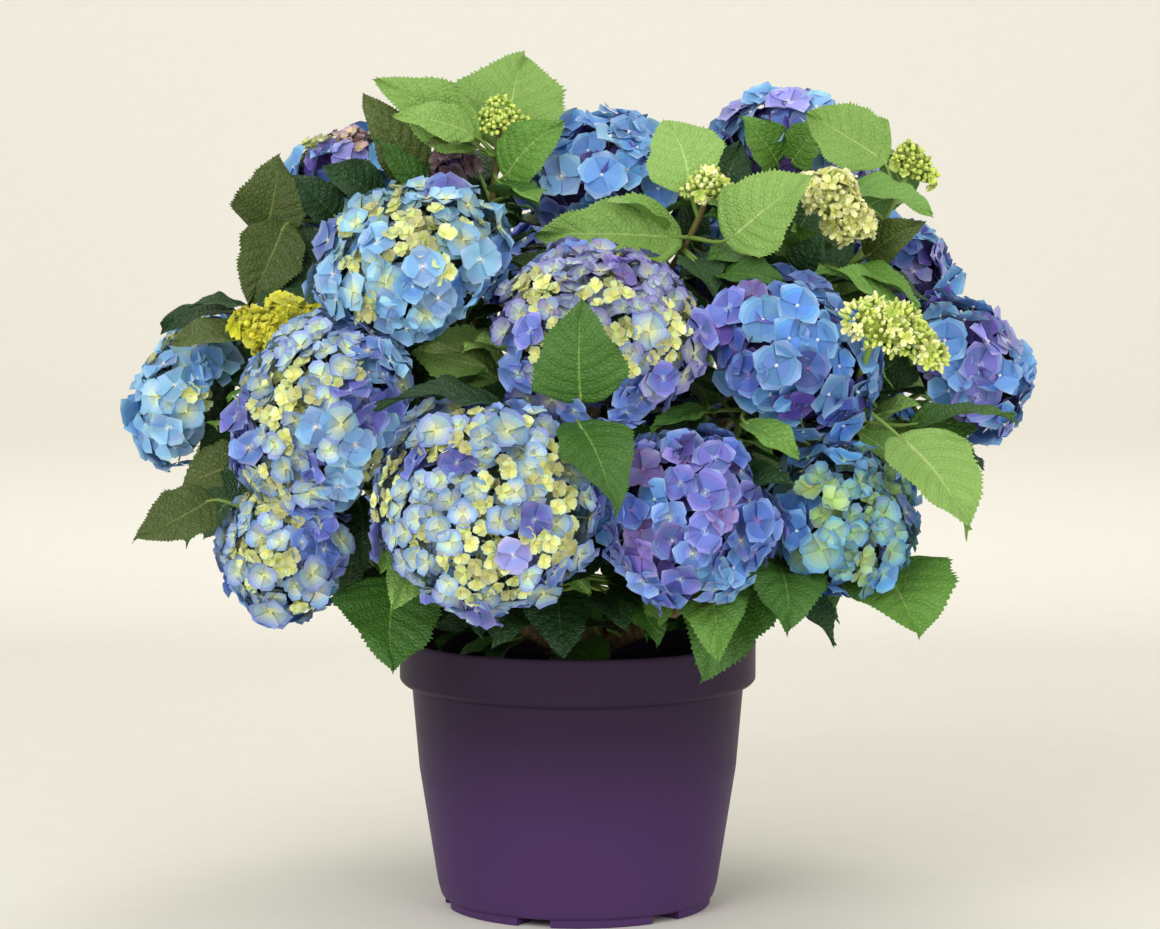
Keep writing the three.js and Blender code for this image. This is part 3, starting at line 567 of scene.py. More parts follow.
class Palette:
    """Materials dealt out by colour; colours closer than a step share one."""

    brightest = 246

    def __init__(self, prefix, maker, step):
        self.prefix = prefix
        self.maker = maker
        self.step = step
        self.slots = {}
        self.materials = []

    def slot(self, colour):
        key = tuple(int(round(min(max(c, 0), 255) / self.step)) * self.step for c in colour)
        if key not in self.slots:
            self.slots[key] = len(self.materials)
            shown = tuple(min(c, self.brightest) for c in key)
            self.materials.append(self.maker(f"{self.prefix}_{len(self.materials):02d}", shown))
        return self.slots[key]


# ---------- meshes ----------


def linked(name, data):
    """A new object in the scene."""
    thing = bpy.data.objects.new(name, data)
    bpy.context.scene.collection.objects.link(thing)
    return thing


class Piece:
    """Vertices and faces of one joined piece, each face with the slot of its material."""

    def __init__(self):
        self.points = []
        self.faces = []
        self.slots = []
        self.count = 0

    def add(self, points, faces, slots):
        start = self.count
        self.points.append(np.asarray(points, float))
        self.faces.extend([tuple(start + i for i in face) for face in faces])
        self.slots.extend([slots] * len(faces) if isinstance(slots, int) else slots)
        self.count += len(points)

    def make(self, name, materials, nodes, smooth=True):
        mesh = bpy.data.meshes.new(name)
        mesh.from_pydata((np.concatenate(self.points) * MM).tolist(), [], self.faces)
        used, slots = np.unique(np.array(self.slots, np.int32), return_inverse=True)
        for index in used:
            mesh.materials.append(materials[index])
        mesh.polygons.foreach_set("material_index", slots.astype(np.int32))
        mesh.polygons.foreach_set("use_smooth", np.full(len(self.faces), smooth))
        mesh.update()
        piece = linked(name, mesh)
        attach(piece, "root")
        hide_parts(*nodes)
        return piece


def grid_faces(rows, columns, wrap=False):
    """The faces of a grid of points, row by row, closed round its columns where wrap says so."""
    faces = []
    for r in range(rows - 1):
        low, high = r * columns, (r + 1) * columns
        for c in range(columns if wrap else columns - 1):
            d = (c + 1) % columns
            faces.append((low + c, low + d, high + d, high + c))
    return faces


def tip_faces(rows, columns):
    """The faces from a grid's last row to the one point past it."""
    last = (rows - 1) * columns
    return [(last + c, last + c + 1, rows * columns) for c in range(columns - 1)]


def cap_faces(ring, sides, top):
    """The faces from a ring of points to one point past it."""
    return [(ring + i, ring + (i + 1) % sides, top) for i in range(sides)]


def add_tube(piece, curve, radius_at, sides, rings, slot):
    """A limb along a curve, closed at its end."""
    reference = square_to(unit(np.array((0.3, 1, 0.2))), curve.tangent(0.0))
    angles = np.arange(sides) / sides * 2 * math.pi
    points = []
    for ring in range(rings):
        share = ring / (rings - 1)
        tangent = curve.tangent(share)
        reference = square_to(reference, tangent)
        other = np.cross(tangent, reference)
        radii = radius_at(share, angles)
        around = np.outer(radii * np.cos(angles), reference) + np.outer(radii * np.sin(angles), other)
        points.append(curve.point(share) + around)
    points.append(curve.point(1.0)[None])
    faces = grid_faces(rings, sides, wrap=True) + cap_faces((rings - 1) * sides, sides, rings * sides)
    piece.add(np.concatenate(points), faces, slot)


def tapering(start, end, relief=None):
    """A limb's radius from its start to its end, with relief where it has bark."""

    def radius_at(share, angles):
        radii = np.full(len(angles), start + (end - start) * share)
        return radii if relief is None else radii + relief(share, angles)

    return radius_at


# ---------- limbs ----------

FOOT = SOIL_LEVEL + SOIL_RISE + GAP


def bough_curve(plan):
    """From the crown outwards and up, and into its tip with a slight lean."""
    (azimuth, height, spread), tip = plan
    turn = math.radians(azimuth)
    out = np.array((math.cos(turn), math.sin(turn), 0))
    end = np.array(tip, float)
    begin = np.array((0, 0, FOOT + height)) + CROWN["boughs_start"] * out
    reach = np.linalg.norm(end - begin)
    back = BOUGH["tip_back"] * reach * square_to(end - begin, UP)
    return Curve(
        begin,
        begin + spread * reach * out + BOUGH["rise"] * reach * UP,
        end - back - BOUGH["tip_rise"] * reach * UP,
        end,
    )


def head_axis(centre):
    """The way a head faces: away from the plant's heart, and never downwards."""
    axis = np.array(centre, float) - PLANT_HEART
    axis[2] = max(axis[2], 0.2 * np.linalg.norm(axis))
    return unit(axis)


def stem_curve(path, share, kind, centre, size):
    """From its bough into its head, along the head's axis."""
    begin = path.point(share)
    head = np.array(centre, float)
    axis = head_axis(centre) if kind == "bloom" else unit(head - begin)
    if kind == "bud":
        axis = unit(axis + 0.6 * UP)
    end = head - 0.3 * size[1] * axis
    reach = np.linalg.norm(end - begin)
    way = unit(0.7 * unit(end - begin) + 0.3 * path.tangent(share))
    start, into_head = STEM["start"] * reach, STEM["into_head"] * reach
    return Curve(begin, begin + start * way, end - into_head * axis, end)


PATHS = {name: bough_curve(plan) for name, plan in BOUGHS.items()}


class Shoot:
    """One stem with its head and leaves, from the plan."""

    def __init__(self, order, name, row):
        self.name = name
        self.kind, bough, share, centre, self.size = row
        self.centre = np.array(centre, float)
        self.axis = head_axis(centre)
        self.curve = stem_curve(PATHS[bough], share, self.kind, centre, self.size)
        self.random = seeded(101 + 17 * order)
        self.fine = np.random.default_rng(4000 + order)
        self.leaves = []
        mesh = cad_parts[name].data
        places = np.zeros(len(mesh.vertices) * 3, np.float32)
        mesh.vertices.foreach_get("co", places)
        self.solid = places.reshape(-1, 3) / MM

    def has_corner(self, point):
        """Whether the shoot's solid has a corner here, such as the tip of a leaf that had room."""
        return np.abs(self.solid - point).sum(1).min() < 0.2


SHOOT_LIST = [Shoot(i, name, row) for i, (name, row) in enumerate(SHOOTS.items())]
BY_NAME = {shoot.name: shoot for shoot in SHOOT_LIST}


def inside_heads(points, scale, skip=None):
    """Which points lie inside a flower head, shrunk or grown by scale."""
    inside = np.zeros(len(points), bool)
    for shoot in SHOOT_LIST:
        if shoot.kind == "leafy" or shoot is skip:
            continue
        away = points - shoot.centre
        height = away @ shoot.axis
        across = np.linalg.norm(away - np.outer(height, shoot.axis), axis=1)
        radius, half = shoot.size
        inside |= (across / radius) ** 2 + (height / half) ** 2 < scale**2
    return inside


# ---------- leaves ----------


class Leaf:
    """A leaf's place: where its stalk leaves the stem, its blade's base and tip, width and facing."""

    arch = 0.07
    fold = 0.13

    def __init__(self, root, base, tip, width, facing, green, seed, small=False):
        self.root, self.base, self.tip, self.width = root, base, tip, width
        self.green, self.seed, self.small = green, seed, small
        self.length = np.linalg.norm(tip - base)
        self.run = (tip - base) / self.length
        self.normal = square_to(np.array(facing, float), self.run)
        self.side = np.cross(self.run, self.normal)

    def at(self, s, w, lift):
        """Points of the blade: s along it, w across it from -1 to 1, lift off it in mm."""
        arch = self.arch * self.length * 4 * s * (1 - s)
        fold = self.fold * self.width * np.abs(w)
        return (
            self.base
            + np.outer(s * self.length, self.run)
            + np.outer(w * self.width / 2, self.side)
            + np.outer(arch + fold + lift, self.normal)
        )

    def samples(self, along=7, across=5):
        """Points spread over the blade."""
        s = np.repeat(np.linspace(0.05, 0.93, along), across)
        w = np.tile(np.linspace(-0.93, 0.93, across), along) * blade_half_width(s)
        return self.at(s, w, np.zeros(len(s)))


def root_for(shoot, base, tip):
    """Where on its stem the stalk of a placed leaf starts: near, and behind the blade."""
    run = unit(tip - base)
    best = None
    share = 0.12
    while share < 0.93:
        point = shoot.curve.point(share)
        stalk = base - point
        length = np.linalg.norm(stalk)
        cost = length * (1.7 - np.dot(stalk / length, run))
        if best is None or cost < best[0]:
            best = (cost, point)
        share += 0.03
    return best[1]


def inside_outline(tip, share=1.0):
    """Whether a leaf's tip stays within the plant's rounded outline, or a share of it."""
    middle, half = np.array(OUTLINE["middle"]), np.array(OUTLINE["half"])
    return (((tip - middle) / half) ** 2).sum() < share and tip[2] > OUTLINE["lowest"]


def joint(curve, share):
    """A place on a limb, the limb's direction there and two directions square to it."""
    tangent = curve.tangent(share)
    side = square_to(LEAF_SIDE, tangent)
    return curve.point(share), tangent, side, np.cross(tangent, side)


Spot = namedtuple("Spot", "root base tip width facing")


def tried_leaves(place, angle_from, full_length, rise):
    """The leaves to try from a joint, best first."""
    root, tangent, side, other = place
    for swing, scale in LEAF_TRIES:
        angle = angle_from + swing
        length = full_length * scale
        way = unit(math.cos(angle) * side + math.sin(angle) * other + rise * tangent)
        base = root + LEAF_STALK * way
        tip = base + length * way - 0.2 * length * UP
        yield Spot(root, base, tip, LEAF_WIDTH * length, UP + 0.4 * tangent)


def pick_green(shoot, place):
    """Lighter greens high and outside, dark greens low and inside."""
    outside = np.linalg.norm((place - np.array((0, 0, 290))) / np.array((290, 250, 260)))
    bright = outside + 0.9 * (shoot.fine.random() - 0.5)
    names = ("dark", "dark", "mid", "mid", "fresh", "light")
    return names[int(min(max(bright * 6 - 1.2, 0), 5))]


def spend_head_draws(shoot):
    """The numbers that the solids draw for a head before they draw any for its leaves."""
    shoot.random()
    share = (shoot.size[0] / 60) ** 2
    count = int(HEAD_FLORETS * share + 0.5) if shoot.kind == "bloom" else BUD_FLORETS
    for _ in range(2 * count):
        shoot.random()


def grow_leaves():
    """The leaves of the solids, placed ones first, and then smaller ones lower on the stems."""
    seed = 0
    for name, base, tip, width, face, green in PLACED_LEAVES:
        shoot = BY_NAME[name]
        base, tip = np.array(base, float), np.array(tip, float)
        seed += 1
        root = root_for(shoot, base, tip)
        shoot.leaves.append(Leaf(root, base, tip, width, FACES[face], green, seed))
    for shoot in SHOOT_LIST:
        pairs = () if len(shoot.leaves) > 2 else PAIR_SHARES[shoot.kind]
        if shoot.kind != "leafy":
            spend_head_draws(shoot)
        for order, share in enumerate(pairs):
            place = joint(shoot.curve, share)
            turn = (order % 2) * math.pi / 2 + 0.7 * shoot.random()
            for half in (0, math.pi):
                full_length = LEAF_LENGTH[0] + LEAF_LENGTH[1] * shoot.random()
                rise = 0.35 + 0.3 * shoot.random()
                for spot in tried_leaves(place, turn + half, full_length, rise):
                    if inside_outline(spot.tip) and shoot.has_corner(spot.tip):
                        seed += 1
                        shoot.leaves.append(Leaf(*spot, pick_green(shoot, spot.tip), seed))
                        break
    for shoot in SHOOT_LIST:
        seed = fill_leaves(shoot, seed)


def fill_leaves(shoot, seed):
    """Smaller leaves lower on each stem, wherever they stay clear of the heads."""
    for order, share in enumerate(STEM_SHARES):
        place = joint(shoot.curve, share)
        turn = order * math.pi / 2 + ANY_TURN * shoot.fine.random()
        for half in (0, math.pi):
            full_length = STEM_LEAF_LENGTH[0] + STEM_LEAF_LENGTH[1] * shoot.fine.random()
            for spot in tried_leaves(place, turn + half, full_length, SMALL_RISE):
                leaf = Leaf(*spot, pick_green(shoot, spot.tip), seed + 1, small=True)
                if inside_outline(spot.tip, INNER_SHARE) and clear_of_heads(leaf):
                    shoot.leaves.append(leaf)
                    seed += 1
                    break
    return seed


def in_mouth(tip):
    """Whether a leaf's tip hangs inside the pot's mouth, above the soil."""
    return math.hypot(*tip[:2]) < POT_MOUTH["radius"] and tip[2] > POT_MOUTH["level"]


def clear_of_heads(leaf):
    return not inside_heads(leaf.samples(), CLEAR_SCALE).any()


def tree_of(leaves, along, across):
    """Points spread over the blades, for finding how far off the nearest blade is."""
    points = np.concatenate([leaf.samples(along, across) for leaf in leaves])
    tree = KDTree(len(points))
    for index, point in enumerate(points):
        tree.insert(point, index)
    tree.balance()
    return tree


def filling_leaves():
    """The leaves behind the gaps between the heads, each from the limb nearest to it."""
    limbs = [shoot.curve for shoot in SHOOT_LIST] + list(PATHS.values())
    nodes = np.array([limb.point(share) for limb in limbs for share in np.linspace(0.1, 0.95, 18)])
    leaves = []
    for order, (middle, length, turn, green) in enumerate(FILLING_LEAVES):
        angle = math.radians(turn)
        half = 0.5 * length * np.array((math.cos(angle), 0, math.sin(angle)))
        base, tip = np.array(middle) - half, np.array(middle) + half
        root = nodes[np.linalg.norm(nodes - base, axis=1).argmin()]
        width = 1.15 * LEAF_WIDTH * length
        leaves.append(Leaf(root, base, tip, width, FACES["f"], green, 700 + order, small=True))
    return leaves


def limb_leaves(others):
    """Small shaded leaves low on the boughs, where they stay clear of heads and other leaves."""
    random = np.random.default_rng(31)
    blades = tree_of(others, 7, 5)
    leaves = []
    for path in PATHS.values():
        for order, share in enumerate(BOUGH_SHARES):
            place = joint(path, share)
            turn = order * math.pi / 2 + random.uniform(0, 1.6)
            for half in (0, math.pi):
                full_length = random.uniform(*BOUGH_LEAF_LENGTH)
                for spot in tried_leaves(place, turn + half, full_length, SMALL_RISE):
                    leaf = Leaf(*spot, random.choice(SHADED), len(leaves), small=True)
                    has_room = in_mouth(spot.tip) or inside_outline(spot.tip)
                    crossed = np.mean([blades.find(p)[2] < CROSSED["room"] for p in leaf.samples()])
                    if has_room and crossed <= CROSSED["share"] and clear_of_heads(leaf):
                        leaves.append(leaf)
                        break
    return leaves


VEINS = 7
VEIN_HALF = 0.0042
# where the blade's points stand across it, from one margin over the midrib to the other
ACROSS = np.array((-1.0, -0.88, -0.64, -0.34, -0.03, 0.03, 0.34, 0.64, 0.88, 1.0))
SMALL_ACROSS = np.array((-1.0, -0.8, -0.42, -0.04, 0.04, 0.42, 0.8, 1.0))


def vein_rows(steps):
    """Rows of a blade: where each leaves the midrib, and its share of the way between two veins."""
    starts = [0.02 + 0.9 * (k + 0.55) / (VEINS + 0.3) for k in range(VEINS)]
    edges = [0.0] + starts + [0.985]
    rows = []
    for k in range(VEINS + 1):
        low = edges[k] + (VEIN_HALF if k else 0)
        high = edges[k + 1] - VEIN_HALF
        rows += [(low + (high - low) * i / steps, i / steps) for i in range(steps + 1)]
    return np.array(rows)


FINE_ROWS = vein_rows(6)
SMALL_ROWS = vein_rows(2)


def blade_half_width(x):
    """Half the blade's width along it, as a share of the widest."""
    return x**0.6 * np.clip(1 - x, 0, 1) / 0.347


def blade_points(leaf, random, table, across):
    """The blade's points row by row and its tip: rows sweep forwards from the midrib like the veins."""
    m, v = np.meshgrid(table[:, 0], across, indexing="ij")
    f = np.repeat(table[:, 1:], len(across), axis=1)
    reach = np.abs(v)
    # the outline: each row's end on the margin, its teeth and its slow lobes
    edge = m + (1 - m) ** 0.7 * (0.2 + 0.35 * m)
    toothed = (np.arange(len(table)) % 2)[:, None] * (reach > 0.99)
    tooth = toothed * random.uniform(0.6, 1.5, (len(table), 1))
    x = m + (edge - m) * reach ** (1.3 + 0.7 * (1 - m) ** 4) + 0.014 * tooth
    phases = random.uniform(0, ANY_TURN, 4)
    lobes = 1 + 0.07 * np.sin(3.3 * math.pi * x + phases[2] + 2 * np.sign(v)) * reach
    lobes = lobes + 0.03 * np.sin(8.1 * math.pi * x + phases[3] + np.sign(v)) * reach**2
    w = v * blade_half_width(edge) * (1 + 0.06 * tooth) * lobes
    w = w + random.uniform(-0.16, 0.16) * np.sin(math.pi * np.clip(x, 0, 1))
    # the relief: cushions between the veins, a wavy margin, a twist, a drooping tip and a trough
    quilt = (4 * f * (1 - f)) * np.sin(math.pi * np.clip(0.06 + 0.94 * reach, 0, 1)) ** 0.6
    waves = 0.034 * np.sin(2.7 * math.pi * x + phases[0] + 1.2 * v) * reach**2.2
    waves += 0.016 * np.sin(6.1 * math.pi * x + phases[1] + 2 * np.sign(v)) * reach**3
    twist = random.uniform(-0.07, 0.07) * v * x
    droop = -random.uniform(0.0, 0.09) * x**3
    trough = -0.012 * np.exp(-((v / 0.12) ** 2)) * (1 - x)
    lift = leaf.length * (0.014 * quilt + waves + twist + droop + trough)
    tip_droop = leaf.length * float(droop[-1, len(across) // 2])
    tip = leaf.at(np.array([1.0]), np.array([0.0]), np.array([tip_droop]))
    return np.concatenate((leaf.at(x.ravel(), w.ravel(), lift.ravel()), tip))


def add_leaf(piece, leaf, palette):
    """One blade, with its own tone of green on the faces beside, between and along the veins; the faces
    beside the veins are darker, as painted shade in the grooves.
    """
    random = np.random.default_rng(leaf.seed)
    table, across = (SMALL_ROWS, SMALL_ACROSS) if leaf.small else (FINE_ROWS, ACROSS)
    points = blade_points(leaf, random, table, across)
    rows, columns = len(table), len(across)
    shade = random.choice((-8, 0, 8))
    near, between, vein, margin = ([c + shade for c in tone] for tone in GREENS[leaf.green])
    between_slot, groove_shade_slot, rib_slot = palette.slot(between), palette.slot(near), palette.slot(vein)
    vein_slot, margin_slot = palette.slot(mixed(between, vein, 0.3)), palette.slot(margin)
    slots = []
    # painted shade: faces near the veins, where the blade sinks, take the darker green
    for here, ahead in zip(table[:, 1], table[1:, 1]):
        row = [between_slot if 0.2 < (here + ahead) / 2 < 0.8 else groove_shade_slot] * (columns - 1)
        if here == 1.0:
            row = [vein_slot] * (columns - 1)
        row[0] = row[-1] = margin_slot
        row[columns // 2 - 1] = rib_slot
        slots += row
    slots += [groove_shade_slot] * (columns - 1)
    faces = grid_faces(rows, columns) + tip_faces(rows, columns)
    piece.add(points, faces, slots)


def stalk_curve(leaf):
    """From the stem into the blade's midrib, level with the blade where it enters."""
    reach = np.linalg.norm(leaf.base - leaf.root)
    inner = leaf.at(np.array([0.12]), np.array([0.0]), np.array([-0.9]))[0]
    halfway = leaf.root + (leaf.base - leaf.root) * 0.5
    return Curve(leaf.root, halfway, leaf.base - 0.15 * reach * leaf.run, inner)


# ---------- flower heads ----------


def head_places(shoot, count, phase, shrink=0.0):
    """Places on a head from its crest outwards, along a golden-angle spiral."""
    side = square_to(np.array((1.0, 0, 0)), shoot.axis)
    other = np.cross(shoot.axis, side)
    radius, half = (s - shrink for s in shoot.size)
    level = (np.arange(count) + 0.5) / count
    cosine = (1 - level * (1 - math.cos(HEAD_WRAP)))[:, None]
    sine = np.sqrt(1 - cosine * cosine)
    turn = (phase + np.arange(count) * GOLDEN_ANGLE)[:, None]
    around = np.cos(turn) * side + np.sin(turn) * other
    points = shoot.centre + half * cosine * shoot.axis + radius * sine * around
    outward = cosine / half * shoot.axis + sine / radius * around
    return level, points, outward / np.linalg.norm(outward, axis=1)[:, None]


class PetalGrid:
    """The grid of one petal, its rows on arcs round the floret's middle, and its faces."""

    def __init__(self, rows, columns):
        self.u, self.v = np.meshgrid(rows, columns, indexing="ij")
        u = self.u
        rise = (np.minimum(u, 0.62) / 0.62) ** 0.75
        end = np.sqrt(np.clip(1 - (np.clip(u - 0.62, 0, 1) / 0.41) ** 2.3, 0, 1))
        self.width = rise * end
        count, across = u.shape
        self.faces = grid_faces(count, across) + tip_faces(count, across)
        self.bands = [band for band in range(count) for _ in range(across - 1)]
        self.reach = list(rows) + [1.0]

    def shape(self, size, breadth, cup, wave, phase, lift):
        """The petal's points, with its foot at the origin and its tip along +X."""
        u, v = self.u, self.v
        y = np.clip(breadth * self.width, 0, 0.78 * u) * v
        x = np.sqrt(u * u - y * y)
        z = cup * u**1.6 + 0.14 * v * v * u - 0.05 * np.exp(-((v / 0.35) ** 2)) * u
        z = z + wave * np.sin(5.2 * u + phase + 2.1 * v) * v * v * u - 0.07 * u**6 + lift
        tip = (1.04, 0.0, cup - 0.1 + lift)
        return size * np.concatenate((np.stack((x.ravel(), y.ravel(), z.ravel()), 1), [tip]))


PETALS = 4
# a floret smaller than this (mm) gets the coarser petals
OPEN_RADIUS = 9.5
OPEN_PETAL = PetalGrid((0.07, 0.2, 0.36, 0.56, 0.76, 0.92), (-1.0, -0.7, -0.35, 0.0, 0.35, 0.7, 1.0))
YOUNG_PETAL = PetalGrid((0.1, 0.34, 0.66, 0.9), (-1.0, -0.5, 0.0, 0.5, 1.0))


def mixed(a, b, share):
    """A colour part of the way from one to another."""
    return tuple(p + (q - p) * share for p, q in zip(a, b))


def petal_tones(palette, kind, grid, shade):
    """The slots of a petal's bands from its foot to its margin."""
    heart, body, edge, spread = FLORETS[kind]
    slots = []
    for low, high in zip(grid.reach, grid.reach[1:]):
        middle = (low + high) / 2
        tone = mixed(heart, body, min(1, middle / spread)) if middle < spread else body
        tone = mixed(tone, edge, max(0, (middle - 0.6) / 0.36) ** 1.4)
        slots.append(palette.slot([c * (1 + shade) for c in tone]))
    return slots


def add_floret(
    piece, palette, random, centre, outward, radius, kind, cup, fine=True, breadths=ROUND_PETALS
):
    """Four cupped petals, every second one a little above the others, round a bead; the lower ones are
    painted darker and the upper ones lighter, as painted shade and light where they overlap.
    """
    grid = OPEN_PETAL if fine and radius > OPEN_RADIUS else YOUNG_PETAL
    across = square_to(random.normal(size=3), outward)
    other = np.cross(outward, across)
    frame_rows = np.stack((across, other, outward))
    shade = random.choice((-0.14, -0.05, 0.0, 0.06))
    # painted shade and light: the two lower petals take the darker tones, the two upper petals the
    # lighter ones
    tones = [petal_tones(palette, kind, grid, shade + step) for step in (-0.05, 0.04)]
    slots = [[tone[b] for b in grid.bands] for tone in tones]
    breadth = random.uniform(*breadths)
    for k in range(PETALS):
        angle = k * 2 * math.pi / PETALS + random.uniform(-0.09, 0.09)
        size = radius * random.uniform(0.9, 1.06)
        lie = cup + random.uniform(-0.09, 0.09)
        flat = grid.shape(size, breadth, lie, 0.1, random.uniform(0, ANY_TURN), 0.07 * (k % 2))
        c, s = math.cos(angle), math.sin(angle)
        x, y, z = flat.T
        turned = np.stack((x * c - y * s, x * s + y * c, z), 1)
        piece.add(centre + turned @ frame_rows, grid.faces, slots[k % 2])
    heart = palette.slot(FLORETS[kind][0])
    add_bead(piece, centre + 0.02 * radius * outward, outward, across, 0.07 * radius + 0.4, heart)


def add_dome(piece, centre, outward, across, radius, rings, top, sides, slots):
    """A small closed dome: rings of a radius and height each, then a top, in shares of the radius."""
    other = np.cross(outward, across)
    turn = np.arange(sides) * 2 * math.pi / sides
    around = np.outer(np.cos(turn), across) + np.outer(np.sin(turn), other)
    points = [centre + radius * (ring * around + height * outward) for ring, height in rings]
    points.append((centre + top * radius * outward)[None])
    faces = grid_faces(len(rings), sides, wrap=True)
    faces += cap_faces((len(rings) - 1) * sides, sides, len(rings) * sides)
    piece.add(np.concatenate(points), faces, slots)


def add_bead(piece, centre, outward, across, radius, slot):
    """The small round middle of a floret."""
    add_dome(piece, centre, outward, across, radius, ((1.0, -0.2), (0.75, 0.8)), 1.15, 5, slot)


def lumps(points, seed, scale=0.075):
    """A smooth field from about -1 to 1, for patches of younger florets."""
    random = np.random.default_rng(seed)
    total = np.zeros(len(points))
    for _ in range(5):
        total += np.sin(points @ (random.normal(size=3) * scale) + random.uniform(0, ANY_TURN))
    return total / 2.4


# sizes of a floret by its age, as shares of an open one, and how cupped it is
AGE_SIZES = ((0.36, 0.5), (0.6, 0.76), (0.9, 1.15))
AGE_CUPS = (0.45, 0.34, 0.16)


def spread_out(points, sizes, spacing):
    """Which points to keep so that no two are closer than spacing times their joint size."""
    kept = []
    for i in range(len(points)):
        if kept:
            away = np.linalg.norm(points[kept] - points[i], axis=1)
            if (away < spacing * (sizes[kept] + sizes[i])).any():
                continue
        kept.append(i)
    return kept


def floret_plan(shoot, points, level, young, radius):
    """Each place's age (0 youngest clusters, 1 young, 2 open), the floret's size, and its patch.

    The young part has a ragged edge with a few open florets inside it, and holds the clusters.
    """
    random = shoot.fine
    count = len(points)
    seed = int(abs(shoot.centre).sum())
    age = np.full(count, 2)
    sizes = radius * random.uniform(0.86, 1.12, count)
    if young:
        edge = young * (1 + 0.35 * lumps(points, seed, 0.07))
        inside = (level < edge) & (random.random(count) > 0.1)
        cluster = inside & (lumps(points, seed + 1, 0.15) > 0.42) & (level < 0.9 * edge)
        age[inside] = 1
        age[cluster] = 0
        sizes = np.where(inside, radius * random.uniform(*AGE_SIZES[1], count), sizes)
        sizes = np.where(cluster, radius * random.uniform(*AGE_SIZES[0], count), sizes)
    patch = np.full(count, -1)
    for index, ((x, z), reach, _, patch_age) in enumerate(PATCHES.get(shoot.name, ())):
        away = np.hypot(points[:, 0] - x, points[:, 2] - z) / (1 + 0.2 * lumps(points, seed + 2, 0.2))
        here = (away < reach) & (points[:, 1] < shoot.centre[1])
        patch[here] = index
        age[here] = patch_age
        sizes = np.where(here, radius * random.uniform(*AGE_SIZES[patch_age], count), sizes)
    return age, sizes, patch


def add_knob(piece, centre, outward, radius, slots, random, tall):
    """A small unopened bud, taller than wide, with a paler top."""
    across = square_to(random.normal(size=3), outward)
    rings, sides = ((0.6, -0.5), (0.98, 0.2 * tall), (0.5, 1.1 * tall)), 6
    shades = [slot for slot in slots for _ in range(sides)]
    add_dome(piece, centre, outward, across, radius, rings, 1.3 * tall, sides, shades)


Ellipsoid = namedtuple("Ellipsoid", "centre axis size")


def add_bud_head(piece, stalks, palette, shoot):
    """A young head: branches that end in clusters of knobs, some of them open as small stars."""
    shares, _, radius, _ = HEADS[shoot.name]
    kinds = list(shares)
    random = shoot.fine
    open_share, clusters, knob, tall, breadths = BUD_HEADS[shoot.name]
    for centre, size, count in clusters:
        at = Ellipsoid(np.array(centre, float), shoot.axis, size)
        _, points, outward = head_places(at, 46 * count, random.uniform(0, ANY_TURN))
        order = random.permutation(len(points))
        sizes = knob * random.uniform(0.8, 1.2, len(points))
        for i in order[spread_out(points[order], sizes[order], 0.78)][: 9 * count]:
            kind = random.choice(kinds)
            heart, body, edge, _ = FLORETS[kind]
            shade = random.choice((-0.1, 0.0, 0.08))
            slots = [palette.slot([c * (1 + shade) for c in tone]) for tone in (heart, body, edge)]
            way = unit(outward[i] + random.normal(0, 0.2, 3))
            place = points[i] + outward[i] * random.normal(0, 0.5 * knob)
            if random.random() < open_share:
                size_here = radius * random.uniform(0.7, 1.15)
                add_floret(piece, palette, random, place, way, size_here, kind, 0.45, False, breadths)
            else:
                add_knob(piece, place, way, sizes[i], slots, random, tall)
        stalks.append((shoot, at.centre - 0.4 * size[1] * shoot.axis))


# places tried on a head, and its outer and inner layers: how deep each lies, in mm and then in
# shares of the head's radius, and how far apart its florets stand, in shares of their joint size
CANDIDATES = {"bloom": 1500, "bud": 260}
LAYERS = {"bloom": ((2.5, 0.5), (0.16, 0.64)), "bud": ((1.0, 0.5), (0.2, 0.7))}
# florets keep out of other heads shrunk by this scale, and keep off leaves by a share of their size
# and a margin; within a larger share of their size from a leaf they are pushed into the head
HEAD_SCALE = 0.93
LEAF_ROOM = {"share": 0.6, "margin": 1.6, "pushed": 1.4}
TILT = 0.26
# the kinds of head whose inner florets are painted purple, as painted shade inside the head, and whose
# shaded heart is painted purple too
PURPLE_SHADE_INSIDE = ("steel", "azure", "deep", "violet")
PURPLE_HEARTS = (*PURPLE_SHADE_INSIDE, "lilac", "faded")


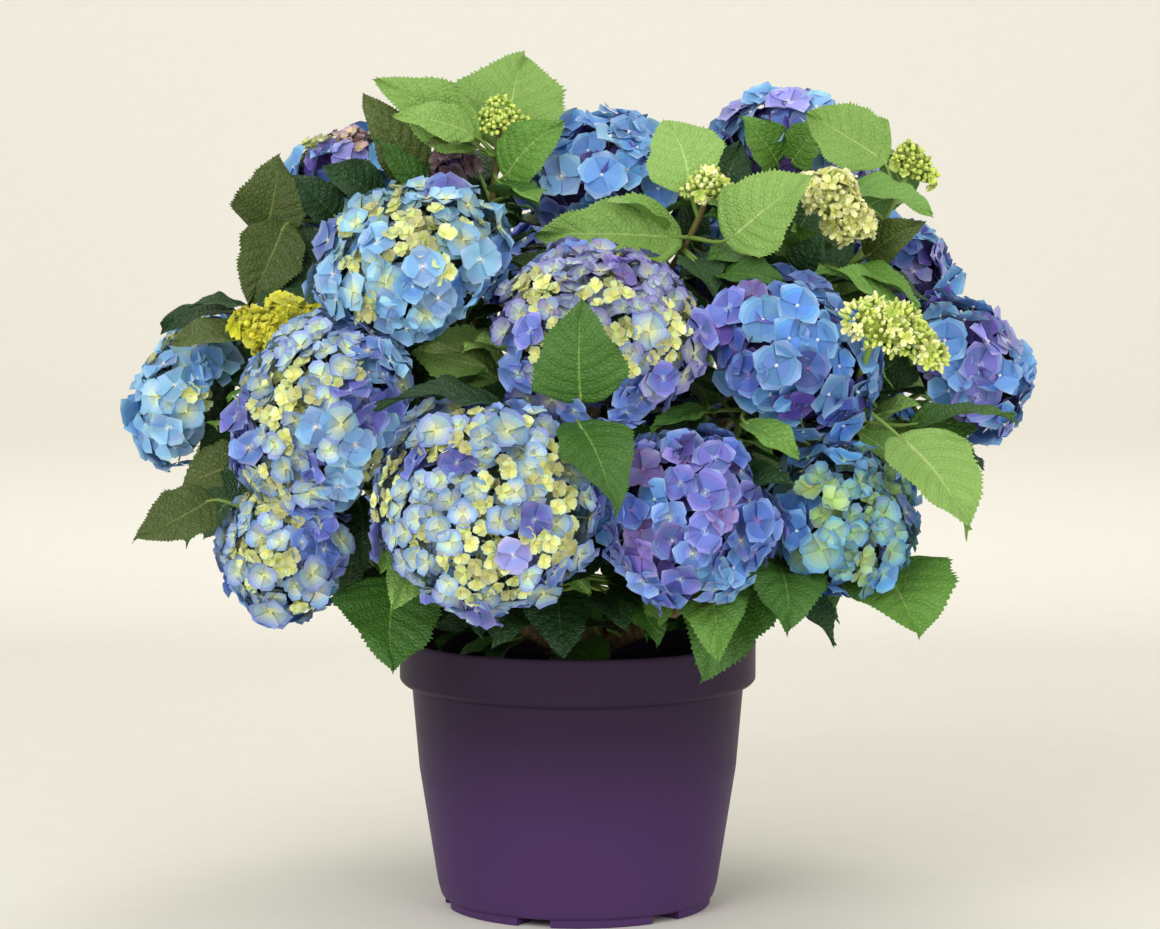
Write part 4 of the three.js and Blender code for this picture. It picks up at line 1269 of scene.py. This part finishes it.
def add_head(piece, stalks, palette, shoot, leaf_points):
    """An open head: an outer and an inner layer of florets, kept clear of leaves and other heads."""
    shares, young, radius, youngest = HEADS[shoot.name]
    kinds = list(shares)
    weights = np.array([shares[k] for k in kinds], float)
    weights /= weights.sum()
    bloom = shoot.kind == "bloom"
    random = shoot.fine
    candidates = CANDIDATES[shoot.kind]
    (depth, spacing), (inner_share, inner_spacing) = LAYERS[shoot.kind]
    layers = ((True, depth, spacing), (False, inner_share * shoot.size[0], inner_spacing))
    for outermost, shrink, spacing in layers:
        level, points, outward = head_places(shoot, candidates, random.uniform(0, ANY_TURN), shrink)
        age, sizes, patch = floret_plan(shoot, points, level, young, radius)
        from_leaf = np.array([leaf_points.find(p)[2] for p in points])
        room = LEAF_ROOM["share"] * sizes + LEAF_ROOM["margin"]
        allowed = ~inside_heads(points, HEAD_SCALE, skip=shoot) & (from_leaf > room)
        order = random.permutation(candidates)
        order = order[allowed[order]]
        for i in order[spread_out(points[order], sizes[order], spacing)]:
            way = unit(outward[i] + random.normal(0, TILT, 3))
            place = points[i] - outward[i] * max(0, LEAF_ROOM["pushed"] * sizes[i] - from_leaf[i])
            if bloom:
                bulge = 2.4 * lumps(points[i][None], 5, 0.12)[0] + random.normal(0, 1.0)
                place = place + outward[i] * bulge
            cup = AGE_CUPS[age[i]] if bloom else 0.35
            kind = (youngest, kinds[0], random.choice(kinds, p=weights))[age[i]]
            if patch[i] >= 0:
                kind = PATCHES[shoot.name][patch[i]][2]
            # painted shade: the open inner florets of these heads take the darker purple kind
            if not outermost and age[i] == 2 and kinds[0] in PURPLE_SHADE_INSIDE:
                kind = "purple"
            add_floret(piece, palette, random, place, way, sizes[i], kind, cup, fine=outermost)
            stalks.append((shoot, place - 0.5 * way))


# ---------- building ----------

grow_leaves()
petal_palette = Palette("petal", petal_material, 18)
leaf_palette = Palette("leaf", leaf_material, 3)
every_leaf = [leaf for shoot in SHOOT_LIST for leaf in shoot.leaves]
every_leaf += filling_leaves()
every_leaf += limb_leaves(every_leaf)
leaf_points = tree_of(every_leaf, 15, 11)

GROUPS = {
    "florets_left": (
        "flower_front_left", "flower_low_left", "flower_left", "flower_far_left", "flower_upper_left",
    ),
    "florets_middle": ("flower_front_middle", "flower_middle", "flower_top", "flower_top_left"),
    "florets_right": (
        "flower_front_right", "flower_right", "flower_far_right", "flower_upper_right",
        "flower_top_right",
    ),
    "florets_back_low": (
        "flower_back_low_left", "flower_back_low_right", "flower_back_right", "flower_back_left",
    ),
    "florets_back_high": ("flower_back_middle", "flower_back_upper_right", "flower_back_upper_left"),
}

stalks = []
for piece_name, names in GROUPS.items():
    petals = Piece()
    for name in names:
        add_head(petals, stalks, petal_palette, BY_NAME[name], leaf_points)
    petals.make(piece_name, petal_palette.materials, names)

bud_names = [name for name in SHOOTS if name.startswith("bud_")]
bud_petals = Piece()
for name in bud_names:
    add_bud_head(bud_petals, stalks, petal_palette, BY_NAME[name])
bud_petals.make("young_florets", petal_palette.materials, bud_names)

faded_petals = Piece()
add_head(faded_petals, stalks, petal_palette, BY_NAME["faded_head_top_left"], leaf_points)
faded_petals.make("faded_florets", petal_palette.materials, ["faded_head_top_left"])

leafy_names = [name for name in SHOOTS if name.startswith("leaves_")]
for piece_name, in_front in (("leaf_blades_front", True), ("leaf_blades_back", False)):
    blades = Piece()
    for leaf in every_leaf:
        if (leaf.tip[1] < -40) == in_front:
            add_leaf(blades, leaf, leaf_palette)
    blades.make(piece_name, leaf_palette.materials, leafy_names)

# ---------- stems ----------


def stem_material(name, low, high):
    """Green stem skin with fine lengthwise ribs and paler flecks."""
    n = Nodes(name)
    place = n.where()
    ribs = n.noise(n.stretch(place, (600, 600, 60)), 1.0, 3.0)
    flecks = n.noise(place, 300.0, 2.0)
    colour = n.ramp(n.span(ribs, 0.5, 1.2), ((0.2, low), (0.75, high)))
    return n.skin(n.span(flecks, 0.45, 0.65), n.bump(ribs, 0.0006, 0.7), colour)


stem_green = stem_material("stem_green", (70, 104, 44), (128, 160, 72))
stem_brown = stem_material("stem_brown", (84, 70, 40), (120, 110, 62))
stalk_pale = stem_material("stalk_pale", (84, 104, 70), (120, 134, 100))

GREEN, BROWN, PALE = 0, 1, 2
BROWN_STEMS = ("bud_top_left", "bud_top_middle", "faded_head_top_left")
LEAF_STALKS = tapering(1.1 * PETIOLE, 0.65 * PETIOLE)
FLOWER_STALKS = tapering(0.8, 0.55)

stems = Piece()
for shoot in SHOOT_LIST:
    slot = BROWN if shoot.name in BROWN_STEMS else GREEN
    add_tube(stems, shoot.curve, tapering(STEM["base"], STEM["tip"]), 10, 18, slot)
for leaf in every_leaf:
    add_tube(stems, stalk_curve(leaf), LEAF_STALKS, 6, 7, GREEN)
for shoot, point in stalks:
    hub = shoot.centre - 0.35 * shoot.size[1] * shoot.axis
    middle = hub + 0.55 * (point - hub) + 0.1 * shoot.size[1] * shoot.axis
    add_tube(stems, Curve(hub, middle, middle, point), FLOWER_STALKS, 3, 3, PALE)
stems.make("stems", [stem_green, stem_brown, stalk_pale], leafy_names)


def add_head_heart(piece, shoot, slot):
    """The crowded inner stalks and shaded petals of a head, as one rough closed lump whose dark colour
    is painted shade.
    """
    side = square_to(np.array((1.0, 0, 0)), shoot.axis)
    other = np.cross(shoot.axis, side)
    radius, half = shoot.size if shoot.kind == "bloom" else [0.62 * v for v in shoot.size]
    rows, sides = 15, 26
    turns = np.arange(sides) / sides * 2 * math.pi
    theta, turn = np.meshgrid(np.linspace(0.02, math.pi - 0.02, rows), turns, indexing="ij")
    rough = 0.76 + 0.07 * (shoot.fine.random((rows, sides)) - 0.5)
    x = (radius * rough * np.sin(theta) * np.cos(turn)).ravel()
    y = (radius * rough * np.sin(theta) * np.sin(turn)).ravel()
    z = (half * rough * np.cos(theta)).ravel()
    points = shoot.centre + np.outer(x, side) + np.outer(y, other) + np.outer(z, shoot.axis)
    piece.add(points, [f[::-1] for f in grid_faces(rows, sides, wrap=True)], slot)


def heart_material(name, low, high):
    """Dull clumps of two dark tones, seen only between the petals: painted shade of a head's inside."""
    n = Nodes(name)
    place = n.where()
    clumps = n.noise(place, 240.0, 3.0)
    n.link("Base Color", n.ramp(clumps, ((0.35, low), (0.65, high))))
    n.set(Roughness=0.8)
    n.link("Normal", n.bump(clumps, 0.003, 1.0))
    return n.material


# painted shade: dark green, purple and lime lumps stand for the shade inside the heads and young heads
heart_green = heart_material("shaded_green", (34, 50, 40), (74, 94, 80))
heart_purple = heart_material("shaded_purple", (48, 38, 84), (84, 66, 130))
heart_lime = heart_material("shaded_lime", (112, 128, 40), (150, 166, 60))

hearts = Piece()
for name, (shares, *_) in HEADS.items():
    purple = max(shares, key=shares.get) in PURPLE_HEARTS
    add_head_heart(hearts, BY_NAME[name], 2 if name in bud_names else int(purple))
hearts.make("head_hearts", [heart_green, heart_purple, heart_lime], leafy_names)


# ---------- bark ----------


def bark_material():
    """Grey-brown bark: long ridges, dark cracks and green-grey patches."""
    n = Nodes("bark")
    place = n.where()
    ridges = n.noise(n.stretch(place, (260, 260, 28)), 1.0, 5.0, 0.6)
    patches = n.noise(place, 34.0, 4.0)
    height = n.maths("ADD", ridges, n.maths("MULTIPLY", patches, 0.4))
    colour = n.ramp(height, ((0.42, (52, 38, 26)), (0.62, (104, 84, 56)), (0.82, (146, 128, 92))))
    return n.skin(n.span(ridges, 0.75, 0.95), n.bump(ridges, 0.0016, 0.9), colour)


def bark_relief(seed, depth):
    """Low ridges that wind round a limb, up to about three times depth."""
    random = np.random.default_rng(seed)
    phases = random.uniform(0, ANY_TURN, 4)

    def relief(share, angles):
        return depth * (
            np.sin(3 * angles + phases[0] + 5 * share)
            + 0.7 * np.sin(5 * angles + phases[1] - 9 * share)
            + 0.5 * np.sin(8 * angles + phases[2] + 21 * share)
            + 0.5 * math.sin(60 * share + phases[3])
        )

    return relief


bark = Piece()
crown_relief = bark_relief(7, 0.45)


def crown_radius(share, angles):
    """Three flared lobes at the soil and a rounded top."""
    spread = (CROWN["flare"] - CROWN["radius"]) * (1 - share) ** 5 * (1 + 0.3 * np.cos(3 * angles))
    rounding = 1 - 0.28 * max(0, (share - 0.83) / 0.17) ** 2
    return (CROWN["radius"] + spread - 2.5 * share) * rounding + crown_relief(share, angles)


low = np.array((0, 0, FOOT))
middle = np.array((0, 0, FOOT + CROWN["height"] / 2))
high = np.array((2, -2, FOOT + CROWN["height"]))
crown_line = Curve(low, low + (middle - low) * 2 / 3, high + (middle - high) * 2 / 3, high)
add_tube(bark, crown_line, crown_radius, 48, 40, 0)
for order, path in enumerate(PATHS.values()):
    radius = tapering(BOUGH["base"], BOUGH["tip"], bark_relief(20 + order, 0.16))
    add_tube(bark, path, radius, 16, 44, 0)
bark_nodes = ["woody_crown"] + [f"bough_{name}" for name in BOUGHS]
bark.make("woody_limbs", [bark_material()], bark_nodes)


# ---------- soil ----------


def soil_material():
    """Dark moist peat with paler fibres and a few pale grains."""
    n = Nodes("peat")
    place = n.where()
    lumps = n.noise(place, 120.0, 6.0, 0.65)
    fibres = n.noise(n.stretch(place, (900, 160, 300)), 1.0, 3.0)
    mix = n.maths("ADD", n.maths("MULTIPLY", lumps, 0.7), n.maths("MULTIPLY", fibres, 0.3))
    colour = n.ramp(mix, ((0.3, (18, 13, 10)), (0.55, (44, 32, 24)), (0.75, (84, 66, 48))))
    return n.skin(n.span(lumps, 0.8, 1.0), n.bump(mix, 0.002, 1.0), colour)


def inner_wall(z):
    """The pot's inner radius at a height between its ankle and its shoulder."""
    ankle, ankle_radius = POT["ankle_height"], POT["ankle_radius"]
    share = (z - ankle) / (SHOULDER - POT["shoulder_drop"] - ankle)
    return ankle_radius - POT["wall"] + share * (WALL_RADIUS - ankle_radius)


def add_crumb(piece, random, centre, radius):
    """A rough little cube of peat."""
    directions = random.normal(size=(8, 3))
    corners = np.array([(x, y, z) for z in (-1, 1) for y in (-1, 1) for x in (-1, 1)], float)
    points = centre + radius * (0.55 * corners + 0.16 * directions)
    faces = [(0, 2, 3, 1), (4, 5, 7, 6), (0, 1, 5, 4), (2, 6, 7, 3), (0, 4, 6, 2), (1, 3, 7, 5)]
    piece.add(points, faces, 0)


def build_soil():
    """A body of soil that falls off towards the pot's wall, with loose crumbs on it."""
    piece = Piece()
    random = np.random.default_rng(11)
    rings, sides, crumbs = 46, 120, 900
    edge = inner_wall(SOIL_LEVEL - 3) - GAP
    turns = np.arange(sides) / sides * 2 * math.pi

    def ring(radius, height):
        heights = np.broadcast_to(height, sides)
        return np.stack((radius * np.cos(turns), radius * np.sin(turns), heights), 1)

    def level(radius):
        return SOIL_LEVEL + SOIL_RISE - 4.5 * max(0, (radius - 60) / (edge - 60))

    points = []
    for radius in edge * np.arange(rings) / (rings - 1) + 0.01:
        rough = 0 if radius < CROWN["flare"] * 1.4 else 1.5
        points.append(ring(radius, level(radius) + rough * (random.random(sides) - 0.75)))
    ankle, bottom = POT["ankle_height"], POT["floor"] + GAP
    for depth in (SOIL_LEVEL - 20, ankle + 0.1):
        points.append(ring(inner_wall(depth) - GAP, depth))
    points += [ring(inner_wall(ankle) - 5, bottom), ring(0.01, bottom)]
    piece.add(np.concatenate(points), [f[::-1] for f in grid_faces(rings + 4, sides, wrap=True)], 0)
    for _ in range(crumbs):
        radius = edge * math.sqrt(random.uniform(0.12, 0.96))
        turn = random.uniform(0, 2 * math.pi)
        place = np.array((radius * math.cos(turn), radius * math.sin(turn), level(radius)))
        add_crumb(piece, random, place, random.uniform(0.8, 2.6))
    piece.make("peat_soil", [soil_material()], ["potting_soil"], smooth=False)


build_soil()


# ---------- pot ----------


def pot_material():
    """Dark purple moulded plastic: satin, with faint flow lines, scuffs and a little dust, and a colour
    that darkens from the foot up towards the rim as painted shade.
    """
    n = Nodes("pot_plastic")
    place = n.where()
    flow = n.noise(n.stretch(place, (6, 6, 90)), 1.0, 4.0)
    cloud = n.noise(place, 9.0, 3.0)
    scuff = n.noise(n.stretch(place, (60, 60, 220)), 1.0, 6.0, 0.7)
    mix = n.maths("ADD", n.maths("MULTIPLY", flow, 0.35), n.maths("MULTIPLY", cloud, 0.65))
    # painted shade: the colour darkens with height, standing for the shade under the rim and the leaves
    # above
    height = n.add("ShaderNodeSeparateXYZ", {"Vector": place}).outputs["Z"]
    up = n.add("ShaderNodeMapRange", {"Value": height, "From Max": POT["height"] * MM})
    tone = n.maths("ADD", up.outputs["Result"], n.maths("MULTIPLY", mix, 0.1))
    stops = (
        (0.05, (80, 54, 102)), (0.4, (73, 49, 93)), (0.76, (54, 39, 64)), (0.9, (51, 38, 60)),
        (1.0, (55, 41, 63)),
    )
    n.set(Specular_IOR_Level=0.08)
    wear = n.maths("ADD", n.maths("MULTIPLY", flow, 0.5), n.maths("MULTIPLY", scuff, 0.5))
    relief = n.maths("ADD", flow, n.maths("MULTIPLY", scuff, 0.3))
    return n.skin(n.span(wear, 0.36, 0.58), n.bump(relief, 0.0005, 0.35), n.ramp(tone, stops))


def rounded(profile, steps=5):
    """A profile whose corners are turned by arcs: each row is radius, height and corner size."""
    points = []
    for i, (x, z, size) in enumerate(profile):
        here = np.array((x, z))
        if not size:
            points.append(here)
            continue
        before = np.array(profile[i - 1][:2])
        after = np.array(profile[(i + 1) % len(profile)][:2])
        a = here + unit(before - here) * min(size, 0.45 * np.linalg.norm(before - here))
        b = here + unit(after - here) * min(size, 0.45 * np.linalg.norm(after - here))
        for k in range(steps + 1):
            t = k / steps
            points.append((1 - t) ** 2 * a + 2 * t * (1 - t) * here + t * t * b)
    return points


def pot_profile():
    """The pot's outline from the middle of its underside round its rim to its floor inside."""
    rim, height, wall, inner = POT["rim_radius"], POT["height"], POT["wall"], POT["channel_inner"]
    foot, foot_height, floor = POT["foot_radius"], POT["foot_height"], POT["floor"]
    ankle, top = POT["ankle_height"], SHOULDER - POT["shoulder_drop"]
    return rounded([
        (0.01, 0, 0), (30, 0, 0), (inner - 0.6, 0, 0), (inner, 0, 0),
        (foot, 0, 1.6), (foot, foot_height - 0.2, 0), (foot + 0.5, foot_height, 0),
        (foot + 2.4, foot_height + 1.5, 1.0), (POT["ankle_radius"], ankle, 3.5),
        (WALL_RADIUS - 4.6, 90, 0), (WALL_RADIUS, top, 1.2), (rim - 2.4, SHOULDER - 1, 1.2),
        (rim, SHOULDER + 1.6, 1.2), (rim, height - 1.6, 1.8), (rim - 1, height, 0.6),
        (rim - wall, height, 0.8), (rim - wall - 0.5, SHOULDER + 1.8, 2),
        (inner_wall(SHOULDER - 1), SHOULDER - 1, 2), (inner_wall(ankle), ankle, 3),
        (inner_wall(ankle) - 5, floor, 2), (0.01, floor, 0),
    ])


def build_pot():
    """The turned pot; where a channel crosses its foot, the foot's points are lifted."""
    profile = pot_profile()
    foot_height = POT["foot_height"]
    half_turn = math.asin(POT["channel_width"] / 2 / POT["foot_radius"])
    step = 2 * math.pi / POT["channels"]
    points = []
    for channel in range(POT["channels"]):
        middle = POT["first_channel"] + channel * step
        inside = np.linspace(-half_turn, half_turn, 7)
        outside = np.linspace(half_turn + 0.003, step - half_turn - 0.003, 21)
        for turn in (*inside, *outside):
            cosine, sine = math.cos(middle + turn), math.sin(middle + turn)
            for x, z in profile:
                in_foot = x > POT["channel_inner"] - 0.3 and z < foot_height
                raised = in_foot and turn <= half_turn
                points.append((x * cosine, x * sine, foot_height if raised else z))
    piece = Piece()
    columns = len(profile)
    rows = len(points) // columns
    faces = []
    for r in range(rows):
        here, ahead = r * columns, (r + 1) % rows * columns
        faces += [(here + c, ahead + c, ahead + c + 1, here + c + 1) for c in range(columns - 1)]
    piece.add(points, faces, 0)
    pot = piece.make("plastic_pot", [pot_material()], ["pot"])
    sharp = pot.modifiers.new("sharp corners", "EDGE_SPLIT")
    sharp.split_angle = math.radians(50)


build_pot()

# ---------- floor, light and camera ----------


def stage_material():
    """Pale matt paper."""
    n = Nodes("studio_paper")
    grain = n.noise(n.where(), 40.0, 3.0)
    n.link("Base Color", n.ramp(grain, ((0.3, (239, 237, 230)), (0.7, (241, 239, 232)))))
    n.set(Roughness=0.9)
    return n.material


def build_stage():
    """A pale floor that sweeps up into a backdrop far behind."""
    half_width, front, sweep, radius, top = 9.0, -9.0, 3.4, 1.6, 7.0
    line = [(front, 0.0), (sweep, 0.0)]
    for k in range(1, 13):
        a = k / 12 * math.pi / 2
        line.append((sweep + radius * math.sin(a), radius * (1 - math.cos(a))))
    line.append((sweep + radius, top))
    points = [(x, y, z) for y, z in line for x in (-half_width, half_width)]
    faces = [(2 * i, 2 * i + 1, 2 * i + 3, 2 * i + 2) for i in range(len(line) - 1)]
    mesh = bpy.data.meshes.new("studio_floor")
    mesh.from_pydata(points, [], faces)
    mesh.materials.append(stage_material())
    mesh.polygons.foreach_set("use_smooth", [True] * len(faces))
    linked("studio_floor", mesh)


# each soft lamp: its place, what it points at, its size (metres) and its power (watts)
LAMPS = {
    "key": ((-1.3, -2.6, 1.9), (0, 0, 0.3), 2.0, 44),
    "fill": ((1.9, -2.6, 1.0), (0, 0, 0.3), 2.0, 22),
    "rim": ((0.4, 0.9, 3.0), (0, 0, 0.35), 1.6, 15),
    "backdrop_wash": ((0.0, 1.2, 2.4), (0, 5.6, 2.3), 3.0, 34),
}
WORLD_COLOUR = (243, 239, 228)
WORLD_STRENGTH = 0.78


def light_stage():
    """Soft round lamps in front, above and behind, under an even pale sky."""
    for name, (place, target, size, power) in LAMPS.items():
        data = bpy.data.lights.new(name, "AREA")
        data.shape = "DISK"
        data.size = size
        data.energy = power
        lamp = linked(name, data)
        lamp.location = place
        lamp.rotation_euler = (Vector(target) - Vector(place)).to_track_quat("-Z", "Y").to_euler()
    world = bpy.data.worlds.new("studio")
    world.use_nodes = True
    background = world.node_tree.nodes["Background"]
    background.inputs["Color"].default_value = (*linear(WORLD_COLOUR), 1)
    background.inputs["Strength"].default_value = WORLD_STRENGTH
    bpy.context.scene.world = world
    bpy.context.scene.view_settings.view_transform = "Standard"


def set_camera():
    """The photo's camera, as its pot and its plant's spread give it."""
    distance, height, aside, pitch = 2.6, 0.54, 0.0015, math.radians(5.59)
    focal_pixels, image_width, sensor = 4058.0, 1160, 36.0
    data = bpy.data.cameras.new("camera")
    data.sensor_width = sensor
    data.lens = focal_pixels / image_width * sensor
    camera = linked("camera", data)
    camera.location = (aside, -distance, height)
    camera.rotation_euler = (math.pi / 2 - pitch, 0, 0)
    bpy.context.scene.camera = camera


build_stage()
light_stage()
set_camera()
